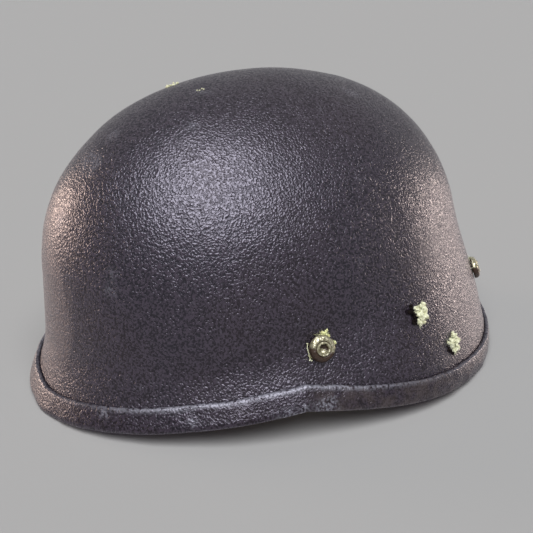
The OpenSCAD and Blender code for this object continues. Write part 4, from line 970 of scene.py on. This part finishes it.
SEWN_HALF_W, SEWN_STEPS = 7, 8
sewing = Shape()
for layer, (name, bearing) in enumerate(CROWN_BEARINGS.items()):
    path, across = crown_path(bearing, layer)
    strap = ribbon(path, across, CROWN_W, CROWN_T, -crown_bow)
    strap.build(name + "_webbing", "helmet", "webbing", webbing, [name])
    for end in (slice(0, SEWN_STEPS), slice(-1, -SEWN_STEPS - 1, -1)):
        p, a = path[end], across[end]
        inner = -unit(np.stack([p[:, 0], p[:, 1], 0 * p[:, 0]], -1))
        left, right = (p + inner * (CROWN_T / 2 + 0.1) + a * s for s in (SEWN_HALF_W, -SEWN_HALF_W))
        corners = [left[0], right[0], right[-1], left[-1]]
        for line in (corners + corners[:1], corners[::2], corners[1::2]):
            sewing.join(stitches(line, np.repeat(inner[:1], len(line), 0)))
sewing.build("crown_strap_stitching", "helmet", "webbing", yarn)

# Chin straps: folded round the bracket's bar, sewn, run along the wall, folded round the buckle's bar
temple_o, temple_n = temple
bracket_s = temple_flange - SEAT_GAP / 2 - BRACKET_T
pivot = temple_o - temple_n * (bracket_s + BRACKET_T / 2)
rearward = unit(np.cross((0, 0, 1), temple_n))
downward = np.cross(rearward, temple_n)
eye_x = rearward * cosd(FOLD_TILT) + downward * sind(FOLD_TILT)
crank_x = EYE_PLATE_D / 2 + 0.5
crank_o = pivot + eye_x * crank_x
loop_x = eye_x * cosd(CRANK_ANGLE) - temple_n * sind(CRANK_ANGLE)
loop_z = temple_n * cosd(CRANK_ANGLE) + eye_x * sind(CRANK_ANGLE)
slot_w = STRAP_T + 2 * SLOT_PLAY
bar_x = BRACKET_REACH - crank_x + slot_w / 2 + BAR_W / 2
strap_start = crank_o + loop_x * (bar_x + BAR_W / 2 + FOLD_L - 1)
start_bearing = bearing_of(strap_start)
start_inset = float(radius(start_bearing, strap_start[2]) - math.hypot(strap_start[0], strap_start[1]))


def ease(a, b, t):
    return b + (a - b) * (1 - np.minimum(1, t)) ** 2


def strap_place(phi, end):
    s = phi - start_bearing
    k = np.maximum(0, (phi - end + TURN_IN_OVER) / TURN_IN_OVER)
    z = ease(strap_start[2], STRAP_MID, s / DROP_OVER)
    return place(phi, z, ease(start_inset, WALL + STRAP_ROOM, s / SETTLE_OVER) + TURN_IN * k * k)


def strap_way(phi, end):
    if phi <= start_bearing:
        return loop_x
    return unit(strap_place(phi + 0.5, end) - strap_place(phi - 0.5, end))


def strap_across(phi, end):
    turned = mix(loop_z, np.array([cosd(phi), sind(phi), 0]), smooth((phi - start_bearing) / DROP_OVER))
    return unit(np.cross(turned, strap_way(phi, end)))


def fold(o, x_axis, z_axis):
    """Webbing's middle line from its end over the bar at o and back out, away along x_axis"""
    half = BRACKET_T / 2 + 0.3 + STRAP_T / 2
    left, right, end = -BAR_W / 2 + 0.45, BAR_W / 2 + 1.5, BAR_W / 2 + FOLD_L
    x = np.linspace(end, right, 12)
    main = -half * (1 - ramp(x, right, end))
    back = mix(half, main + STRAP_T, smooth((x - right) / 4))
    arc = [(left + half * cosd(a), half * sind(a)) for a in range(90, 271, 15)]
    middle = 0.5 * (left + right)
    points = np.array([*zip(x, back), (middle, half), *arc, (middle, -half), *zip(x[::-1], main[::-1])])
    return o + x_axis * points[:, :1] + z_axis * points[:, 1:]


STRAP_SEAMS, SEAM_HALF = (1.0, 3.0, 6.5, 8.5), 8


def build_strap(name, end, body, mirror):
    bearings = np.linspace(start_bearing, end, int((end - start_bearing) * 1.5))[1:-1]
    run = [strap_place(phi, end) for phi in bearings]
    run_y = [strap_across(phi, end) for phi in bearings]
    near, near_y = fold(crank_o + loop_x * bar_x, loop_x, loop_z), np.cross(loop_z, loop_x)
    far_x, far_y = strap_way(end, end), strap_across(end, end)
    far_bar = strap_place(end, end) + far_x * (BAR_W / 2 + FOLD_L - 1)
    far = fold(far_bar, -far_x, np.cross(far_x, far_y))[::-1]
    path = np.concatenate([near[:-1], run, far[1:]])
    across = np.concatenate([[near_y] * (len(near) - 1), run_y, [far_y] * (len(far) - 1)])
    strap = ribbon(path, across, STRAP_W, STRAP_T)
    sewn = Shape()
    for turned, side in ((near, near_y), (far[::-1], far_y)):
        way = unit(turned[0] - turned[10])
        up = np.cross(side, way)
        up = up if up @ (turned[0] - turned[-1]) > 0 else -up
        for along in STRAP_SEAMS:
            line = turned[0] - way * along + up * (STRAP_T / 2 + 0.15)
            ends = [line + side * SEAM_HALF, line - side * SEAM_HALF]
            sewn.join(stitches(ends, [up, up], length=1.6, gap=0.5))
    if mirror:
        strap, sewn = strap.mirrored(), sewn.mirrored()
    strap.build(name + "_webbing", body, "webbing", webbing, [name])
    sewn.build(name + "_stitching", body, "webbing", yarn)


for side, end in STRAP_ENDS.items():
    build_strap("chin_strap_" + side, end, side + "_strap", side == "right")


# Pads: leather cushions blown up like cloth, then capped so that they stay near their solids
PRESSURE, STIFFNESS, CLOTH_STEPS = 4.0, 15, 20
PAD_BELOW, CROWN_SEAM = 40.0, 0.70


def cushion(node, body, voxel, shrink, cap):
    mesh = nodes[node].data.copy()
    obj = add_object(node + "_cushion", mesh)
    bm = bmesh.new()
    bm.from_mesh(mesh)
    bmesh.ops.remove_doubles(bm, verts=bm.verts, dist=1e-5)
    bm.normal_update()
    for v in bm.verts:
        v.co -= v.normal * shrink * MM
    bm.to_mesh(mesh)
    bm.free()
    modify(obj, "REMESH", mode="VOXEL", voxel_size=voxel * MM)
    applied(obj)
    start = coordinates(obj.data)
    settings = modify(obj, "CLOTH").settings
    settings.use_pressure, settings.uniform_pressure_force = True, PRESSURE
    settings.effector_weights.gravity = 0.0
    settings.quality, settings.mass = 6, 0.3
    settings.tension_stiffness = settings.compression_stiffness = STIFFNESS
    for step in range(1, CLOTH_STEPS + 1):
        bpy.context.scene.frame_set(step)
    applied(obj)
    bpy.context.scene.frame_set(1)
    shift = coordinates(obj.data) - start
    length = np.linalg.norm(shift, axis=1, keepdims=True)
    shift *= np.minimum(1, cap * MM / np.maximum(length, 1e-9))
    obj.data.vertices.foreach_set("co", (start + shift).reshape(-1))
    modify(obj, "SMOOTH", factor=0.5, iterations=6)
    modify(obj, "SUBSURF", levels=1, render_levels=1)
    applied(obj)
    obj.data.shade_smooth()
    dress(obj, body, hide, [node])
    return obj


def face_points(mesh, rays):
    """Where rays (origin, way) first meet a mesh, and its outward directions there, in millimetres"""
    tree = BVHTree.FromPolygons([v.co for v in mesh.vertices], [p.vertices for p in mesh.polygons])
    points, normals = [], []
    for origin, way in rays:
        point, normal, _, _ = tree.ray_cast(Vector(origin) * MM, Vector(way))
        if point is not None:
            points.append(np.array(point) / MM)
            normals.append(np.array(normal) if normal.dot(Vector(way)) < 0 else -np.array(normal))
    return np.array(points), np.array(normals)


def sew(obj, name, body, lines, depth=0.9, width=2.0):
    """Seams in a cushion: its skin is drawn in along each line, and the line is stitched"""
    mesh = obj.data
    co = coordinates(mesh) / MM
    for rays in lines:
        points, normals = face_points(mesh, rays)
        gaps = np.linalg.norm(co[:, None] - points[None], axis=-1)
        pull = depth * np.exp(-((gaps.min(1) / width) ** 2))
        co = co - normals[gaps.argmin(1)] * pull[:, None]
    mesh.vertices.foreach_set("co", (co * MM).reshape(-1))
    mesh.update()
    sewing = Shape()
    for rays in lines:
        sewing.join(stitches(*face_points(mesh, rays), length=2.3, gap=1.1, thickness=0.3))
    sewing.build(name, body, "pad_leather", yarn)


def ring_rays(mesh, margin, share, window=4):
    """Rays out from the head's axis, a degree apart, that meet a curved pad at that share of its height"""
    co = coordinates(mesh) / MM
    middle = bearing_of(co.mean(0))
    turn = (bearing_of(co) - middle + 180) % 360 - 180
    rays = []
    for bearing in np.arange(turn.min() + margin, turn.max() - margin, 1.0):
        close = np.abs(turn - bearing) < window
        z = mix(co[close, 2].min(), co[close, 2].max(), share)
        rays.append(((0, 0, z), (cosd(bearing + middle), sind(bearing + middle), 0)))
    return rays


crown = cushion("crown_pad", "helmet", 3.0, 0.6, 1.4)
reach_x, reach_y, _ = coordinates(crown.data).max(0) / MM * CROWN_SEAM
oval = [(reach_x * cosd(a), reach_y * sind(a), PAD_BELOW) for a in range(0, 361, 3)]
sew(crown, "crown_pad_seams", "helmet", [[(point, (0, 0, 1)) for point in oval]])
for node, body, voxel, shrink, cap, fill, margin, shares in (
        ("sweatband", "helmet", 2.4, 0.5, 1.0, 0.55, 5, (0.14, 0.86)),
        ("nape_pad", "helmet", 2.4, 0.5, 1.2, 0.6, 5, (0.20, 0.80)),
        ("chin_cup", "right_strap", 2.0, 0.4, 0.8, 0.5, 3, (0.22, 0.78))):
    pad = cushion(node, body, voxel, shrink, cap)
    sew(pad, node + "_seams", body, [ring_rays(pad.data, margin, share) for share in shares], 0.6, 1.8)


# Solids that show as they are, in their finish, with their edges eased
IN_STEEL = ("temple_post_nuts", "rear_post_nuts", "temple_washers", "dial_pinion", "chin_bracket_left",
            "chin_bracket_right")
IN_PLASTIC = ("headband", "headband_clips", "dial_housing", "dial_knob", "rack_left", "rack_right",
              "rack_keepers", "strap_slider_left", "strap_slider_right", "buckle_socket", "buckle_plug")
WELDED, EASED_EDGE, EASED_ANGLE = 0.005, 0.25, 40
for finish, names in ((rubber, ["wall_spacers"]), (steel, IN_STEEL), (black_plastic, IN_PLASTIC)):
    for name in names:
        solid = nodes[name]
        solid.data.materials.clear()
        solid.data.materials.append(finish)
        modify(solid, "WELD", merge_threshold=WELDED * MM)
        modify(solid, "BEVEL", width=EASED_EDGE * MM, segments=2, limit_method="ANGLE",
               angle_limit=math.radians(EASED_ANGLE), harden_normals=False)


# Stage, lamps and camera
SKY, PALE, FLOOR_TONE = (0.15, 0.15, 0.16, 1), 0.43, 0.37
FLOOR_REACH, FLOOR_SUNK = 90.0, 0.0003
CAMERA_AZIMUTH, CAMERA_ELEVATION, CAMERA_ROLL = 55.89, 19.03, -1.65
CAMERA_DISTANCE, CAMERA_TARGET = 468.91, (0.0, 1.91, 46.2)
FOCAL_PIXELS, IMAGE_PIXELS, SENSOR = 796.04, 533, 36.0


def toward(azimuth, elevation):
    return Vector((sind(azimuth) * cosd(elevation), -cosd(azimuth) * cosd(elevation), sind(elevation)))


def lamp(name, azimuth, elevation, irradiance, spread, colour=(1, 1, 1)):
    """A soft distant lamp in that direction from the object"""
    light = bpy.data.lights.new(name, "SUN")
    light.energy, light.angle, light.color = irradiance, math.radians(spread), colour
    obj = add_object(name, light)
    way = toward(azimuth, elevation)
    obj.rotation_euler = way.to_track_quat("Z", "Y").to_euler()
    obj.location = way * 2


lamp("key", 57, 58, 3.6, 50)
lamp("front_fill", -60, -3, 3.0, 38, (1.0, 0.75, 0.58))
lamp("rear_fill", 177, -5, 1.9, 22, (1.0, 0.82, 0.69))
lamp("inside_fill", 20, -80, 4.2, 80)

# The world is paler to the camera and in reflections than it lights
world = bpy.data.worlds.new("studio")
bpy.context.scene.world = world
world.use_nodes = True
tree = world.node_tree
rays = add_node(tree, "ShaderNodeLightPath").outputs
seen = rays["Is Camera Ray"]
for ray in ("Is Glossy Ray", "Is Transmission Ray"):
    seen = add_node(tree, "ShaderNodeMath", {0: seen, 1: rays[ray]}, operation="MAXIMUM").outputs[0]
sky = tree.nodes["Background"]
sky.inputs["Color"].default_value = SKY
backdrop = add_node(tree, "ShaderNodeBackground", {"Color": (PALE, PALE, PALE, 1)})
both = add_node(tree, "ShaderNodeMixShader", {0: seen, 1: sky.outputs[0], 2: backdrop.outputs[0]})
tree.links.new(both.outputs[0], tree.nodes["World Output"].inputs["Surface"])

# From below the floor is clear, to the eye and to the lamp that lights the inside
floor_mesh = bpy.data.meshes.new("floor")
corners = [(x * FLOOR_REACH, y * FLOOR_REACH, -FLOOR_SUNK) for x, y in ((-1, -1), (1, -1), (1, 1), (-1, 1))]
floor_mesh.from_pydata(corners, [], [(0, 1, 2, 3)])
floor = add_object("floor", floor_mesh)
floor_look = Look("floor_pale", (FLOOR_TONE, FLOOR_TONE, FLOOR_TONE), 0.9, Specular_IOR_Level=0.0)
floor_mesh.materials.append(floor_look.material)
behind = floor_look.node("ShaderNodeNewGeometry").outputs["Backfacing"]
lit_through = floor_look.node("ShaderNodeLightPath").outputs["Is Shadow Ray"]
clear = floor_look.node("ShaderNodeBsdfTransparent")
either = floor_look.node("ShaderNodeMixShader", {
    0: floor_look.most(behind, lit_through), 1: floor_look.shader.outputs[0], 2: clear.outputs[0]})
floor_look.tree.links.new(either.outputs[0], floor_look.tree.nodes["Material Output"].inputs["Surface"])

lens = bpy.data.cameras.new("camera")
lens.sensor_width, lens.lens = SENSOR, SENSOR * FOCAL_PIXELS / IMAGE_PIXELS
lens.clip_start, lens.clip_end = 0.01, 100
camera = add_object("camera", lens)
back = toward(CAMERA_AZIMUTH, CAMERA_ELEVATION)
camera.matrix_world = (Matrix.Translation((Vector(CAMERA_TARGET) + back * CAMERA_DISTANCE) * MM)
                       @ back.to_track_quat("Z", "Y").to_matrix().to_4x4()
                       @ Matrix.Rotation(math.radians(CAMERA_ROLL), 4, "Z"))
bpy.context.scene.camera = camera
bpy.context.scene.view_settings.view_transform = "Standard"
